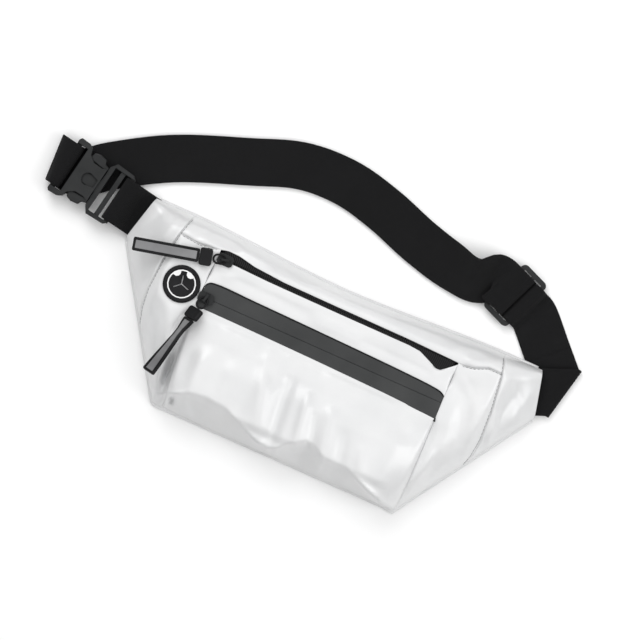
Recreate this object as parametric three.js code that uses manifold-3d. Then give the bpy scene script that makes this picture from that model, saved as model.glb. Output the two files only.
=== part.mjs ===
// Waist bag with a front pocket, two zips, an earphone cable port and a buckled webbing belt.
// Millimetres. +X runs along the bag, +Y towards its top edge and +Z out of its front. The bag lies on its
// back, and the origin is on the middle of the face that it rests on.
import * as THREE from 'three';
import { mergeVertices } from 'three/addons/utils/BufferGeometryUtils.js';
import Module from 'manifold-3d';

const wasm = await Module();
wasm.setup();

// ---- Driving dimensions ----
const gap = 0.3; // left between pieces that touch

const bag = {
  topLength: 336, // along the top edge
  length: 356, // between the lower corners of the two ends
  bottomLength: 210,
  topY: 76,
  endLowY: 38, // lower corner of each end
  bottomY: -75,
  frontZ: 40, // flat of the front above the resting face
  endZ: 10, // thickness at the ends, where the belt is sewn in
  roundOver: 16, // how far the front's edge rounds over
  fabric: 1.2, // coated fabric with its lining
};
const back = { skin: 1.4, pad: 3, padInset: 14 };
const wing = { seamTopX: 134, seamX: 143, seamLowX: 141, seamY: 20 };
const pocket = { halfLength: 107, bulge: 3, bulgeInset: 7, bulgeRound: 20, bulgeTopY: -12, depth: 16 };
const mainZip = { y: 53, leftX: -101, rightX: 101, windowWidth: 5, tapeWidth: 5.5 };
const pocketZip = { y: 19.5, leftX: -103, rightX: 103, windowWidth: 21, tapeWidth: 13 };
const zip = { tape: 0.8, slit: 1.6, coilWidth: 1.8, coilHeight: 1.4, pitch: 3, endStop: 4 };
const slider = {
  parkX: 4, // from the zip's left end to the closed slider
  length: 13,
  width: 9,
  corner: 3,
  plate: 1.6,
  neck: 1,
  bridgeSpan: 8.4,
  bridgeWidth: 1.8,
  bridgeLeg: 1.4,
  bridgeRoom: 2.6, // clear height for the cord
  bridgeTop: 1.2,
};
const pull = {
  cord: 1.7,
  cordLength: 9.5,
  cordInnerWidth: 5.2,
  capLength: 10,
  capWidth: 14,
  capHeight: 4,
  tabLength: 53,
  tabWidth: 11,
  tabHeight: 2.4,
  stripeWidth: 6.5,
  stripeHeight: 0.5,
  stripeInset: 2,
};
// How each pull hangs, in degrees: in plan, off the fabric and about its own length.
const mainPull = { heading: 193.5, tilt: 1.2, roll: 0 };
const pocketPull = { heading: 256, tilt: 9, roll: 30 };
const port = {
  x: -121,
  y: 22,
  outerR: 15,
  faceR: 11.9,
  holeR: 9,
  ringHeight: 2,
  faceHeight: 1.4,
  slitAngles: [102, 222, 342],
  slitWidth: 0.8,
  slitLength: 7,
  symbolR: 11.4,
  symbolWidth: 1,
  cupAngles: [68, 134],
  cupR: 3.4,
  print: 0.3,
};
const webbing = { width: 38, thickness: 1.5, side: 0.9 }; // side: room beside it in a slot
const buckle = { beyond: 53, belowTop: 9, turn: 170, bottomZ: 4.4, height: 11, plate: 1.8 };
const leftTab = { start: 56 }; // how far behind the buckle's middle it starts, inside the bag
const tabSlotRoom = 1; // above the webbing where it enters the bag
const tabZ = 5.2; // middle of the webbing where it leaves the bag
const rightFold = { beyond: 22, belowTop: 10, crease: 78, tabHeading: 22, tabReach: 30, tail: 11 };
const triglide = {
  fromEnd: 44,
  aboveTop: 45.5,
  turn: -22,
  length: 26,
  bar: 4,
  crossBar: 3.2,
  rail: 4,
  height: 3,
};

// ---- Helpers ----
const rad = THREE.MathUtils.degToRad;

function toSolid(geometry) {
  const bare = geometry.clone();
  bare.deleteAttribute('normal');
  bare.deleteAttribute('uv');
  const merged = mergeVertices(bare, 1e-4);
  return new wasm.Manifold(new wasm.Mesh({
    numProp: 3,
    vertProperties: new Float32Array(merged.attributes.position.array),
    triVerts: new Uint32Array(merged.index.array),
  }));
}

function toGeometry(solid) {
  const mesh = solid.getMesh();
  const geometry = new THREE.BufferGeometry();
  geometry.setAttribute('position', new THREE.BufferAttribute(mesh.vertProperties, 3));
  geometry.setIndex(new THREE.BufferAttribute(mesh.triVerts, 1));
  geometry.computeVertexNormals();
  return geometry;
}

const polygon = (points) => new THREE.Shape(points.map(([x, y]) => new THREE.Vector2(x, y)));

function rectangle(x0, x1, y0, y1) {
  return polygon([[x0, y0], [x1, y0], [x1, y1], [x0, y1]]);
}

// A shape in plan, pulled up from z0 to z1.
function prism(shape, z0, z1, curveSegments = 24) {
  const geometry = new THREE.ExtrudeGeometry(shape, { depth: z1 - z0, bevelEnabled: false, curveSegments });
  return toSolid(geometry.translate(0, 0, z0));
}

const block = (x0, x1, y0, y1, z0, z1) => prism(rectangle(x0, x1, y0, y1), z0, z1);

// A section in Y and Z, pulled along X from x0 to x1.
function sectionAlongX(points, x0, x1) {
  const geometry = new THREE.ExtrudeGeometry(polygon(points), { depth: x1 - x0, bevelEnabled: false });
  geometry.rotateX(Math.PI / 2).rotateZ(Math.PI / 2); // shape x goes to Y, shape y to Z, depth to X
  return toSolid(geometry.translate(x0, 0, 0));
}

// A section in X and Z, pulled along Y from y0 to y1.
function sectionAlongY(points, y0, y1) {
  const geometry = new THREE.ExtrudeGeometry(polygon(points), { depth: y1 - y0, bevelEnabled: false });
  return toSolid(geometry.rotateX(Math.PI / 2).translate(0, y1, 0));
}

// A plan outline whose upper edge rounds over, from below z0 up to z1, set in by inset all round.
function pillow(shape, z0, z1, roundOver, inset) {
  const geometry = new THREE.ExtrudeGeometry(shape, {
    depth: 20,
    bevelThickness: z1 - z0,
    bevelSize: roundOver,
    bevelOffset: -roundOver - inset,
    bevelSegments: 4,
  });
  return toSolid(geometry.translate(0, 0, z0 - 20));
}

// A path whose frames keep a strap level across its width, also where it turns back over a bar. Its steps are
// shared out evenly between its points, so they are short where the points are close.
class LevelPath extends THREE.CatmullRomCurve3 {
  getUtoTmapping(u) {
    return u;
  }

  computeFrenetFrames(steps) {
    const frames = { tangents: [], normals: [], binormals: [] };
    let across = null;
    for (let i = 0; i <= steps; i++) {
      const along = this.getTangentAt(i / steps);
      const level = new THREE.Vector3(-along.y, along.x, 0);
      if (!across) across = level.normalize();
      else if (level.length() > 0.3) across = level.normalize().multiplyScalar(Math.sign(level.dot(across)));
      frames.tangents.push(along);
      frames.binormals.push(across.clone());
      frames.normals.push(new THREE.Vector3().crossVectors(across, along).normalize());
    }
    return frames;
  }
}

// Webbing laid flat along a smooth path of [x, y, z] points.
function strap(points, steps) {
  const path = new LevelPath(points.map((p) => new THREE.Vector3(...p)), false, 'centripetal');
  const [t, w] = [webbing.thickness / 2, webbing.width / 2];
  const section = rectangle(-t, t, -w, w);
  return toSolid(new THREE.ExtrudeGeometry(section, { steps, bevelEnabled: false, extrudePath: path }));
}

const root = new THREE.Group();

function add(name, shape, [color, roughness, metalness], group = root) {
  const geometry = shape instanceof THREE.BufferGeometry ? shape : toGeometry(shape);
  const mesh = new THREE.Mesh(geometry, new THREE.MeshStandardMaterial({ color, roughness, metalness }));
  mesh.name = name;
  group.add(mesh);
  return mesh;
}

const finish = {
  fabric: [0xe9e9e8, 0.38, 0],
  lining: [0xc9cbcc, 0.8, 0],
  foam: [0xb8bbbd, 0.95, 0],
  zipTape: [0x3b3d3d, 0.45, 0],
  coil: [0x151515, 0.5, 0],
  pullRubber: [0x161616, 0.55, 0],
  stripe: [0x8b8b8b, 0.35, 0.1],
  rubber: [0x1a1a1b, 0.5, 0],
  print: [0xf2f2f2, 0.5, 0],
  webbing: [0x141414, 0.9, 0],
  plastic: [0x2e2f30, 0.5, 0],
};

// ---- Bag shell ----
const halfTop = bag.topLength / 2;
const halfEnd = bag.length / 2;
const halfBottom = bag.bottomLength / 2;
const shellLowZ = back.skin + gap;
const buckleAt = [-halfTop - buckle.beyond, bag.topY - buckle.belowTop];
const foldAt = [halfTop + rightFold.beyond, bag.topY - rightFold.belowTop];
const triglideAt = [halfTop - triglide.fromEnd, bag.topY + triglide.aboveTop];

const bagOutline = (inset = 0) => {
  const [topX, topY] = [halfTop - inset, bag.topY - inset];
  const [endX, endY] = [halfEnd - inset, bag.endLowY + inset * 0.5];
  const [bottomX, bottomY] = [halfBottom - inset * 0.6, bag.bottomY + inset];
  return polygon([
    [-topX, topY], [-endX, endY], [-bottomX, bottomY], [bottomX, bottomY], [endX, endY], [topX, topY],
  ]);
};

const past = 40; // how far cutters run past what they cut

// The space under the front: flat between the wing seams, falling to the ends.
function taper(inset) {
  const top = bag.frontZ + past;
  return sectionAlongY([
    [-halfEnd, -past], [halfEnd, -past], [halfEnd, bag.endZ - inset], [wing.seamX, bag.frontZ - inset],
    [wing.seamX, top], [-wing.seamX, top], [-wing.seamX, bag.frontZ - inset], [-halfEnd, bag.endZ - inset],
  ], bag.bottomY - past, bag.topY + past);
}

const bulgeOutline = rectangle(
  -pocket.halfLength + pocket.bulgeInset, pocket.halfLength - pocket.bulgeInset,
  bag.bottomY + bag.roundOver, pocket.bulgeTopY,
);

function bagVolume(inset) {
  const body = pillow(bagOutline(), shellLowZ, bag.frontZ - inset, bag.roundOver, inset);
  const bulge = pillow(bulgeOutline, bag.frontZ - inset - 1, bag.frontZ + pocket.bulge - inset,
    pocket.bulgeRound, inset);
  const low = block(-halfEnd, halfEnd, bag.bottomY, bag.topY, -past, inset > 0 ? -past + 1 : shellLowZ);
  return body.add(bulge).intersect(taper(inset)).subtract(low);
}

const shell = bagVolume(0).subtract(bagVolume(bag.fabric));

// Plan regions of the shell's panels, each kept half a gap clear of the seam.
function wingRegion(side, clear) {
  const seam = [[wing.seamTopX, bag.topY + past], [wing.seamTopX, bag.topY], [wing.seamX, wing.seamY],
    [wing.seamLowX, bag.bottomY], [wing.seamLowX, bag.bottomY - past]];
  const edge = seam.map(([x, y]) => [side * (x + clear), y]);
  const far = side * (halfEnd + past);
  const points = [...edge, [far, bag.bottomY - past], [far, bag.topY + past]];
  return prism(polygon(side > 0 ? points.reverse() : points), -past, bag.frontZ + past);
}

const between = (y0, y1, x0 = -halfEnd, x1 = halfEnd) => block(x0, x1, y0, y1, -past, bag.frontZ + past);
const half = gap / 2;
const middle = shell.subtract(wingRegion(-1, -half)).subtract(wingRegion(1, -half));
const mainWindow = [mainZip.y - mainZip.windowWidth / 2, mainZip.y + mainZip.windowWidth / 2];
const pocketWindow = [pocketZip.y - pocketZip.windowWidth / 2, pocketZip.y + pocketZip.windowWidth / 2];
const mainSlot = between(...mainWindow, mainZip.leftX, mainZip.rightX);

// A straight strip in plan through a point, heading in degrees, between two distances along it.
function strip([x, y], heading, from, to, halfWidth, z0, z1) {
  return block(from, to, -halfWidth, halfWidth, z0, z1).rotate([0, 0, heading]).translate([x, y, 0]);
}

const tailHeading = 2 * rightFold.crease - rightFold.tabHeading;
const halfWidth = webbing.width / 2;
const underBag = (grow, z0, z1) => strip(foldAt, tailHeading, -past, 2 * past, halfWidth + grow, z0, z1);

// Slot in each end of the shell that the webbing is sewn into.
function tabSlot(side) {
  const z = [-1, tabZ + webbing.thickness / 2 + tabSlotRoom];
  const room = halfWidth + gap;
  if (side < 0) return strip(buckleAt, buckle.turn, -leftTab.start - gap, 0, room, ...z);
  return strip(foldAt, rightFold.tabHeading, -rightFold.tabReach - gap, past, room, ...z);
}

for (const [side, word] of [[-1, 'left'], [1, 'right']]) {
  const lifted = underBag(2 * gap + bag.fabric, 0, webbing.thickness + 2 * gap + back.skin);
  const end = shell.intersect(wingRegion(side, half)).subtract(tabSlot(side)).subtract(lifted);
  add(`wing_${word}`, end, finish.fabric);
  const x = [side * (pocket.halfLength + half), side * halfEnd].sort((a, b) => a - b);
  let panel = middle.intersect(between(bag.bottomY, mainZip.y - half, ...x)).subtract(mainSlot);
  if (side < 0) {
    const hole = new THREE.Shape().absarc(port.x, port.y, port.holeR, 0, 2 * Math.PI);
    panel = panel.subtract(prism(hole, 0, bag.frontZ + past));
  }
  add(`side_panel_${word}`, panel, finish.fabric);
}
add('top_strip', middle.intersect(between(mainZip.y + half, bag.topY)).subtract(mainSlot), finish.fabric);

const pocketX = [-pocket.halfLength + half, pocket.halfLength - half];
const pocketEdge = [-pocket.halfLength, pocket.halfLength];
const bandEnd = [pocketZip.leftX, pocketZip.rightX];
const band = between(...pocketWindow, ...bandEnd);
add('pocket_front_panel', middle.intersect(between(bag.bottomY, pocketZip.y - half, ...pocketX)).subtract(band),
  finish.fabric);
add('pocket_top_gusset',
  middle.intersect(between(pocketZip.y + half, mainZip.y - half, ...pocketX)).subtract(band).subtract(mainSlot),
  finish.fabric);

// The wall behind the pocket, from under the main zip down to the bottom seam.
const wallTopY = mainWindow[0] - mainZip.tapeWidth - 1;
const dividerZ = bag.frontZ - pocket.depth;
const dividerLine = [
  [wallTopY, bag.frontZ - bag.fabric - 2.5], [wallTopY - 12, dividerZ + 2], [-20, dividerZ - 2],
  [bag.bottomY + bag.roundOver, dividerZ - 10], [bag.bottomY + bag.fabric + 4, shellLowZ + back.pad + 4],
];
const lowered = dividerLine.map(([y, z]) => [y - 0.4, z - bag.fabric]);
const dividerX = [pocketEdge[0] + bag.fabric + 2 * gap, pocketEdge[1] - bag.fabric - 2 * gap];
const room = bagVolume(bag.fabric + gap);
const divider = sectionAlongX([...dividerLine, ...lowered.reverse()].reverse(), ...dividerX);
add('body_front_panel', divider.intersect(room), finish.lining);

// The walls that close the pocket at each side, from the divider up to the front.
const gussetSection = [
  ...dividerLine.map(([y, z]) => [y, z + gap]),
  [bag.bottomY + bag.roundOver, bag.frontZ - bag.fabric - 2.5], [wallTopY, bag.frontZ - bag.fabric - 2],
];
for (const [side, word] of [[-1, 'left'], [1, 'right']]) {
  const x = [side * pocket.halfLength, side * (pocket.halfLength - bag.fabric)].sort((a, b) => a - b);
  const wall = sectionAlongX(gussetSection.slice().reverse(), ...x);
  add(`pocket_gusset_${word}`, wall.intersect(room), finish.lining);
}

// ---- Back ----
// The belt passes under the bag's right corner, where the back is raised to bridge it.
const bridgeTop = webbing.thickness + gap + back.skin;
const bridge = prism(bagOutline(), 0, bridgeTop).intersect(underBag(gap + bag.fabric, 0, bridgeTop));
const backPanel = prism(bagOutline(), 0, back.skin).add(bridge);
add('back_panel', backPanel.subtract(underBag(gap, -1, webbing.thickness + gap)), finish.lining);
add('back_pad', prism(bagOutline(back.padInset), back.skin + gap, back.skin + gap + back.pad), finish.foam);

// ---- Zips ----
const tapeTopZ = bag.frontZ - bag.fabric - gap;
const coilTopZ = tapeTopZ - zip.tape - gap;

// A row of interlocking teeth as one comb that faces the slit from one side.
function coil(spec, side) {
  const near = zip.slit / 2 + 0.2;
  const points = [[spec.leftX, near + zip.coilWidth]];
  for (let x = spec.leftX; x + zip.pitch <= spec.rightX - zip.endStop; x += zip.pitch) {
    const middle = x + zip.pitch / 2;
    points.push([x, near + 0.8], [middle, near + 0.8], [middle, near], [x + zip.pitch, near]);
  }
  points.push([points.at(-1)[0], near + zip.coilWidth]);
  const placed = points.map(([x, y]) => [x, spec.y + side * y]);
  return prism(polygon(side > 0 ? placed.reverse() : placed), coilTopZ - zip.coilHeight, coilTopZ);
}

function addZip(name, spec) {
  for (const [side, word] of [[-1, 'lower'], [1, 'upper']]) {
    const from = zip.slit / 2;
    const edge = [from, from + spec.tapeWidth].map((d) => spec.y + side * d).sort((a, b) => a - b);
    const tape = block(spec.leftX - 1, spec.rightX + 1, ...edge, tapeTopZ - zip.tape, tapeTopZ);
    add(`${name}_zip_tape_${word}`, tape, finish.zipTape);
    add(`${name}_zip_coil_${word}`, coil(spec, side), finish.coil);
  }
  const stop = block(spec.rightX - zip.endStop + gap, spec.rightX, spec.y - 2.4, spec.y + 2.4,
    coilTopZ - zip.coilHeight, coilTopZ);
  add(`${name}_zip_end_stop`, stop, finish.coil);
}
addZip('main', mainZip);
addZip('pocket', pocketZip);

// ---- Sliders and pulls ----
function roundedPlate(length, width, r) {
  const [x, y] = [length / 2, width / 2];
  return new THREE.Shape()
    .moveTo(-x + r, -y).lineTo(x - r, -y).absarc(x - r, -y + r, r, -Math.PI / 2, 0)
    .lineTo(x, y - r).absarc(x - r, y - r, r, 0, Math.PI / 2)
    .lineTo(-x + r, y).absarc(-x + r, y - r, r, Math.PI / 2, Math.PI)
    .lineTo(-x, -y + r).absarc(-x + r, -y + r, r, Math.PI, 1.5 * Math.PI);
}

const plateZ = bag.frontZ + gap; // underside of a slider's upper plate
const bailZ = plateZ + slider.plate; // top of that plate
const cordZ = bailZ + slider.bridgeRoom / 2; // middle of the cord under the bridge
const hingeX = (spec) => spec.leftX + slider.parkX;

function sliderBody(heading) {
  const lowZ = coilTopZ - zip.coilHeight - gap;
  const top = prism(roundedPlate(slider.length, slider.width, slider.corner), plateZ, bailZ, 4);
  const low = prism(roundedPlate(slider.length, slider.width - 1, slider.corner), lowZ - slider.plate, lowZ, 4);
  const [neckX, neckY] = [slider.length / 4, slider.neck / 2];
  const neck = block(-neckX, neckX, -neckY, neckY, lowZ - 0.5, plateZ + 0.5);
  const [span, leg] = [slider.bridgeSpan / 2, slider.bridgeLeg];
  const roof = bailZ + slider.bridgeRoom;
  const bridge = sectionAlongY([
    [-span, bailZ - 0.5], [-span + leg, bailZ - 0.5], [-span + leg, roof], [span - leg, roof],
    [span - leg, bailZ - 0.5], [span, bailZ - 0.5], [span, roof], [span - 1, roof + slider.bridgeTop],
    [-span + 1, roof + slider.bridgeTop], [-span, roof],
  ], -slider.bridgeWidth / 2, slider.bridgeWidth / 2);
  return top.add(low).add(neck).add(bridge.rotate([0, 0, heading]));
}

// The pull lies along +X of its own group, with the cord's turning point at the group's origin.
function addPull(name, roll, group) {
  const [inner, cord] = [pull.cordInnerWidth, pull.cord];
  const ring = roundedPlate(pull.cordLength + cord, inner + 2 * cord, inner / 2 + cord - 0.1);
  ring.holes.push(roundedPlate(pull.cordLength - cord, inner, inner / 2 - 0.1));
  add(`${name}_pull_cord`, prism(ring, -cord / 2, cord / 2, 5).translate([pull.cordLength / 2, 0, 0]),
    finish.pullRubber, group);
  const rolled = new THREE.Group();
  rolled.rotation.x = rad(roll);
  group.add(rolled);
  const capX = pull.cordLength + cord / 2 + gap;
  const cap = prism(roundedPlate(pull.capLength, pull.capWidth, 2), -pull.capHeight / 2, pull.capHeight / 2, 3);
  add(`${name}_pull_cap`, cap.translate([capX + pull.capLength / 2, 0, 0]), finish.pullRubber, rolled);
  const tabX = capX + pull.capLength + gap;
  const tabTop = pull.tabHeight / 2;
  const tab = prism(roundedPlate(pull.tabLength, pull.tabWidth, 1.5), -tabTop, tabTop, 3);
  const grooveHalf = [pull.tabLength / 2 - pull.stripeInset + gap, pull.stripeWidth / 2 + gap];
  const grooveLow = tabTop - pull.stripeHeight - gap;
  const groove = block(-grooveHalf[0], grooveHalf[0], -grooveHalf[1], grooveHalf[1], grooveLow, tabTop + 1);
  add(`${name}_pull_tab`, tab.subtract(groove).translate([tabX + pull.tabLength / 2, 0, 0]),
    finish.pullRubber, rolled);
  const stripe = block(-grooveHalf[0] + gap, grooveHalf[0] - gap, -pull.stripeWidth / 2, pull.stripeWidth / 2,
    tabTop - pull.stripeHeight, tabTop);
  add(`${name}_pull_stripe`, stripe.translate([tabX + pull.tabLength / 2, 0, 0]), finish.stripe, rolled);
}

for (const [name, spec, hang] of [['main', mainZip, mainPull], ['pocket', pocketZip, pocketPull]]) {
  const carriage = new THREE.Group();
  carriage.position.set(hingeX(spec), spec.y, 0);
  root.add(carriage);
  add(`${name}_slider`, sliderBody(hang.heading), finish.plastic, carriage);
  const turned = new THREE.Group();
  turned.position.z = cordZ;
  turned.rotation.order = 'ZYX';
  turned.rotation.set(0, -rad(hang.tilt), rad(hang.heading));
  carriage.add(turned);
  addPull(name, hang.roll, turned);
}

// ---- Earphone cable port ----
const circle = (r) => new THREE.Shape().absarc(0, 0, r, 0, 2 * Math.PI);
function ring(outer, inner) {
  const shape = circle(outer);
  shape.holes.push(circle(inner));
  return shape;
}
const portGroup = new THREE.Group();
portGroup.position.set(port.x, port.y, bag.frontZ + gap);
root.add(portGroup);
add('port_ring', prism(ring(port.outerR, port.faceR + gap), 0, port.ringHeight, 10), finish.rubber, portGroup);
const washerTop = -bag.fabric - 2 * gap;
const washer = prism(ring(port.outerR - 2, port.holeR), washerTop - 1, washerTop, 10);
add('port_washer', washer, finish.plastic, portGroup);
let face = prism(circle(port.faceR), 0, port.faceHeight, 10);
for (const angle of port.slitAngles) {
  const slit = block(0, port.slitLength, -port.slitWidth / 2, port.slitWidth / 2, -1, port.faceHeight + 1);
  face = face.subtract(slit.rotate([0, 0, angle]));
}
add('port_face', face, finish.rubber, portGroup);
const printZ = [port.faceHeight + gap, port.faceHeight + gap + port.print];
let symbol = prism(ring(port.symbolR, port.symbolR - port.symbolWidth), ...printZ, 10);
const symbolDisc = prism(circle(port.symbolR - 0.2), ...printZ, 10);
for (const angle of port.cupAngles) {
  const cup = prism(circle(port.cupR), ...printZ, 5).translate([port.symbolR - port.symbolWidth, 0, 0]);
  symbol = symbol.add(cup.rotate([0, 0, angle]).intersect(symbolDisc));
}
add('port_symbol', symbol, finish.print, portGroup);

// ---- Buckle ----
// Its own frame: +X from the bag's tab towards the belt's loop, +Y across, +Z up, origin at the middle.
const buckleGroup = new THREE.Group();
buckleGroup.position.set(...buckleAt, 0);
buckleGroup.rotation.z = rad(buckle.turn);
root.add(buckleGroup);
const buckleTop = buckle.bottomZ + buckle.height;
const innerHalf = webbing.width / 2 + webbing.side;
const ladder = { end: -29, outerBar: [-29, -25], bar: [-20, -16], base: [-10.5, -6.5], rail: 3,
  z: [buckle.bottomZ + 2.2, buckleTop - 2.6], barZ: [buckle.bottomZ + 3.2, buckle.bottomZ + 6.2] };
const ladderHalf = innerHalf + ladder.rail;

let male = prism(polygon([
  [ladder.end, -ladderHalf + 3], [ladder.end + 3, -ladderHalf], [ladder.base[0], -ladderHalf - 0.6],
  [ladder.base[1], -ladderHalf + 5], [ladder.base[1], ladderHalf - 5], [ladder.base[0], ladderHalf + 0.6],
  [ladder.end + 3, ladderHalf], [ladder.end, ladderHalf - 3],
]), ...ladder.z);
male = male.subtract(block(ladder.end - 1, ladder.base[0], -innerHalf, innerHalf, 0, past));
for (const bar of [ladder.outerBar, ladder.bar]) {
  male = male.add(block(...bar, -innerHalf - 1, innerHalf + 1, ...ladder.barZ));
}
const cavity = [buckle.bottomZ + buckle.plate, buckleTop - buckle.plate];
const inside = [cavity[0] + 0.5, cavity[1] - 0.5];
const guide = polygon([[ladder.base[1] - 1, -6], [8, -4], [10, -2], [10, 2], [8, 4], [ladder.base[1] - 1, 6]]);
male = male.add(prism(guide, ladder.z[0], ladder.z[1]));
add('buckle_male', male, finish.plastic, buckleGroup);

const prongLine = [
  [ladder.base[1] + gap, 13], [0, 13.6], [8, 14.4], [11, 16.5], [9.6, 20.6], [5, 22], [-1, 21], [-2.4, 17.6],
  [ladder.base[1] + gap, 16.6],
];
// The group is turned over, so its +Y is down the bag.
for (const [side, word] of [[-1, 'upper'], [1, 'lower']]) {
  const points = prongLine.map(([x, y]) => [x, side * y]);
  const outline = polygon(side < 0 ? points.reverse() : points);
  add(`prong_${word}`, prism(outline, ...inside), finish.plastic, buckleGroup);
}

const loopSlot = [16, 22];
const femaleEnd = 26;
const femaleLine = [
  [-6, 15], [-2, 13.4], [6, 13.6], [11.4, 17.5], [13, innerHalf + 2.4], [17, innerHalf + 4.6],
  [femaleEnd - 1.5, innerHalf + 5], [femaleEnd, innerHalf + 3],
];
const femaleOutline = polygon([
  ...femaleLine.map(([x, y]) => [x, -y]), ...femaleLine.slice().reverse(),
]);
let female = prism(femaleOutline, buckle.bottomZ, buckleTop);
female = female.subtract(block(-7, 12.5, -30, 30, ...cavity));
female = female.subtract(block(...loopSlot, -innerHalf, innerHalf, 0, past));
const thinBar = [buckle.bottomZ + 3.2, buckle.bottomZ + 7.4];
female = female.subtract(block(loopSlot[1] - 1, femaleEnd + 1, -innerHalf, innerHalf, 0, thinBar[0]));
female = female.subtract(block(loopSlot[1] - 1, femaleEnd + 1, -innerHalf, innerHalf, thinBar[1], past));
const eye = new THREE.Shape()
  .moveTo(-4, -3.4)
  .lineTo(3, -5)
  .absarc(3, 0, 5, -Math.PI / 2, Math.PI / 2)
  .lineTo(-4, 3.4);
female = female.subtract(prism(eye, cavity[1] - 1, past, 6));
add('buckle_female', female, finish.plastic, buckleGroup);

// ---- Webbing ----
// Middle heights of the belt's lower and upper layers.
const layer = [webbing.thickness / 2, webbing.thickness * 1.5 + gap];
const aboveBar = thinBar[1] + webbing.thickness / 2 + 0.8;
const belowBar = thinBar[0] - webbing.thickness / 2 - 0.4;
const loopStart = 13; // where the loop's two ends meet the belt's two layers
add('belt_buckle_loop', strap([
  [loopStart, 0, layer[0]], [22, 0, layer[0]], [29, 0, layer[0] + 0.4], [34, 0, 4], [35, 0, 7.5], [32, 0, 11.5],
  [27, 0, aboveBar], [23, 0, aboveBar], [19.6, 0, aboveBar - 2.4], [19.2, 0, 9], [20.6, 0, belowBar + 0.6],
  [24, 0, belowBar], [27.4, 0, belowBar - 0.3], [29, 0, 4.3], [27, 0, layer[1] + 0.25], [22, 0, layer[1]],
  [loopStart, 0, layer[1]],
], 56), finish.webbing, buckleGroup);

const barMid = (ladder.barZ[0] + ladder.barZ[1]) / 2;
const overBar = ladder.barZ[1] + webbing.thickness / 2 + 0.6;
const underBar = ladder.barZ[0] - webbing.thickness / 2 - 0.6;
add('left_tab', strap([
  [-leftTab.start, 0, tabZ], [-49, 0, tabZ], [-43, 0, tabZ + 0.3], [-38.5, 0, tabZ + 3.4],
  [-33, 0, overBar - 0.2], [-27, 0, overBar],
  [-23.8, 0, overBar - 0.7], [-22.9, 0, barMid], [-23.8, 0, underBar + 0.7], [-27, 0, underBar],
  [-33, 0, underBar - 0.2], [-39, 0, underBar - 0.4],
], 36), finish.webbing, buckleGroup);

// The belt's right end: out of the bag, folded under at a slant, and on towards the strap adjuster.
const direction = (angle) => [Math.cos(rad(angle)), Math.sin(rad(angle))];
const atFold = (heading, from, to, z0, z1) => strip(foldAt, heading, from, to, halfWidth, z0, z1);
const foldR = (tabZ - layer[0]) / 2;
const foldZ = layer[0] + foldR;
const foldOuter = foldR + webbing.thickness / 2;
const foldInner = foldR - webbing.thickness / 2;
const uSection = new THREE.Shape()
  .moveTo(-past, foldOuter)
  .lineTo(0, foldOuter)
  .absarc(0, 0, foldOuter, Math.PI / 2, -Math.PI / 2, true)
  .lineTo(-past, -foldOuter)
  .lineTo(-past, -foldInner)
  .lineTo(0, -foldInner)
  .absarc(0, 0, foldInner, -Math.PI / 2, Math.PI / 2)
  .lineTo(-past, foldInner);
const uBlock = new THREE.ExtrudeGeometry(uSection, { depth: 2 * past, bevelEnabled: false, curveSegments: 6 });
uBlock.translate(0, 0, -past).rotateX(Math.PI / 2).rotateZ(rad(rightFold.crease - 90));
uBlock.translate(...foldAt, foldZ);
const foldRegion = atFold(rightFold.tabHeading, -rightFold.tabReach, 12, foldZ, 3 * tabZ)
  .add(atFold(tailHeading, -12, rightFold.tail, -1, foldZ));
add('right_tab', toSolid(uBlock).intersect(foldRegion), finish.webbing);

// Belt runs, each a list of plan points. Both layers share the route from the buckle to the adjuster: its X
// is from the bag's left end, middle or right end, and its Y from the bag's top edge.
const route = [
  ...[[-80, -7], [-44, 9], [-2, 34], [56, 57]].map(([x, y]) => [x - halfTop, y]),
  [-72, 71], [-35, 73], [0, 66], [40, 53],
  ...[[-96, 46], [-74, 46.5]].map(([x, y]) => [x + halfTop, y]),
].map(([x, y]) => [x, y + bag.topY]);
const toFold = [[-4, 17.4]].map(([x, y]) => [x + halfTop, y + bag.topY, layer[0]]);
const [gx, gy] = direction(triglide.turn);
const besideTriglide = ([along, z, aside = 0]) =>
  [triglideAt[0] + along * gx - aside * gy, triglideAt[1] + along * gy + aside * gx, z];
const barLow = layer[1] + webbing.thickness / 2 + 3 * gap;
const midBar = [barLow, barLow + triglide.height];
const underBuckle = strip(buckleAt, buckle.turn, loopStart - gap, 2 * past, past, -past, past);
const [tx, ty] = direction(tailHeading);
const tailStart = [foldAt[0] + (rightFold.tail + gap) * tx, foldAt[1] + (rightFold.tail + gap) * ty];

// The outer run goes over the adjuster's two outer bars and under its centre bar. The return run ends in a
// turn about the centre bar, between it and the outer run.
const overBars = midBar[1] + webbing.thickness;
const climb = overBars - layer[0];
const ramp = [
  [11, overBars], [13.6, overBars - 0.7], [15.6, layer[0] + 0.485 * climb], [18, layer[0] + 0.12 * climb],
];
const dip = [
  [8.4, overBars - 0.3], [6.7, layer[0] + 0.685 * climb], [5, layer[0] + 0.36 * climb],
  [2.8, layer[0] + 0.095 * climb],
];
const leftOf = ([along, z]) => [-along, z];
add('belt_outer_run', strap([
  ...route.map(([x, y]) => [x, y, layer[0]]),
  ...[
    [-21, layer[0] + 0.15, -2.4], ...ramp.map(leftOf).reverse(), ...dip.map(leftOf), [0, layer[0] + gap],
    ...dip.slice().reverse(), ...ramp, [21.5, layer[0]],
  ].map(besideTriglide),
  ...toFold, [tailStart[0] + 8 * tx, tailStart[1] + 8 * ty, layer[0]], [...tailStart, layer[0]],
], 120).subtract(underBuckle), finish.webbing);
const [barTurn, barMiddle] = [triglide.crossBar / 2 + webbing.thickness - 0.1, (midBar[0] + midBar[1]) / 2];
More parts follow.
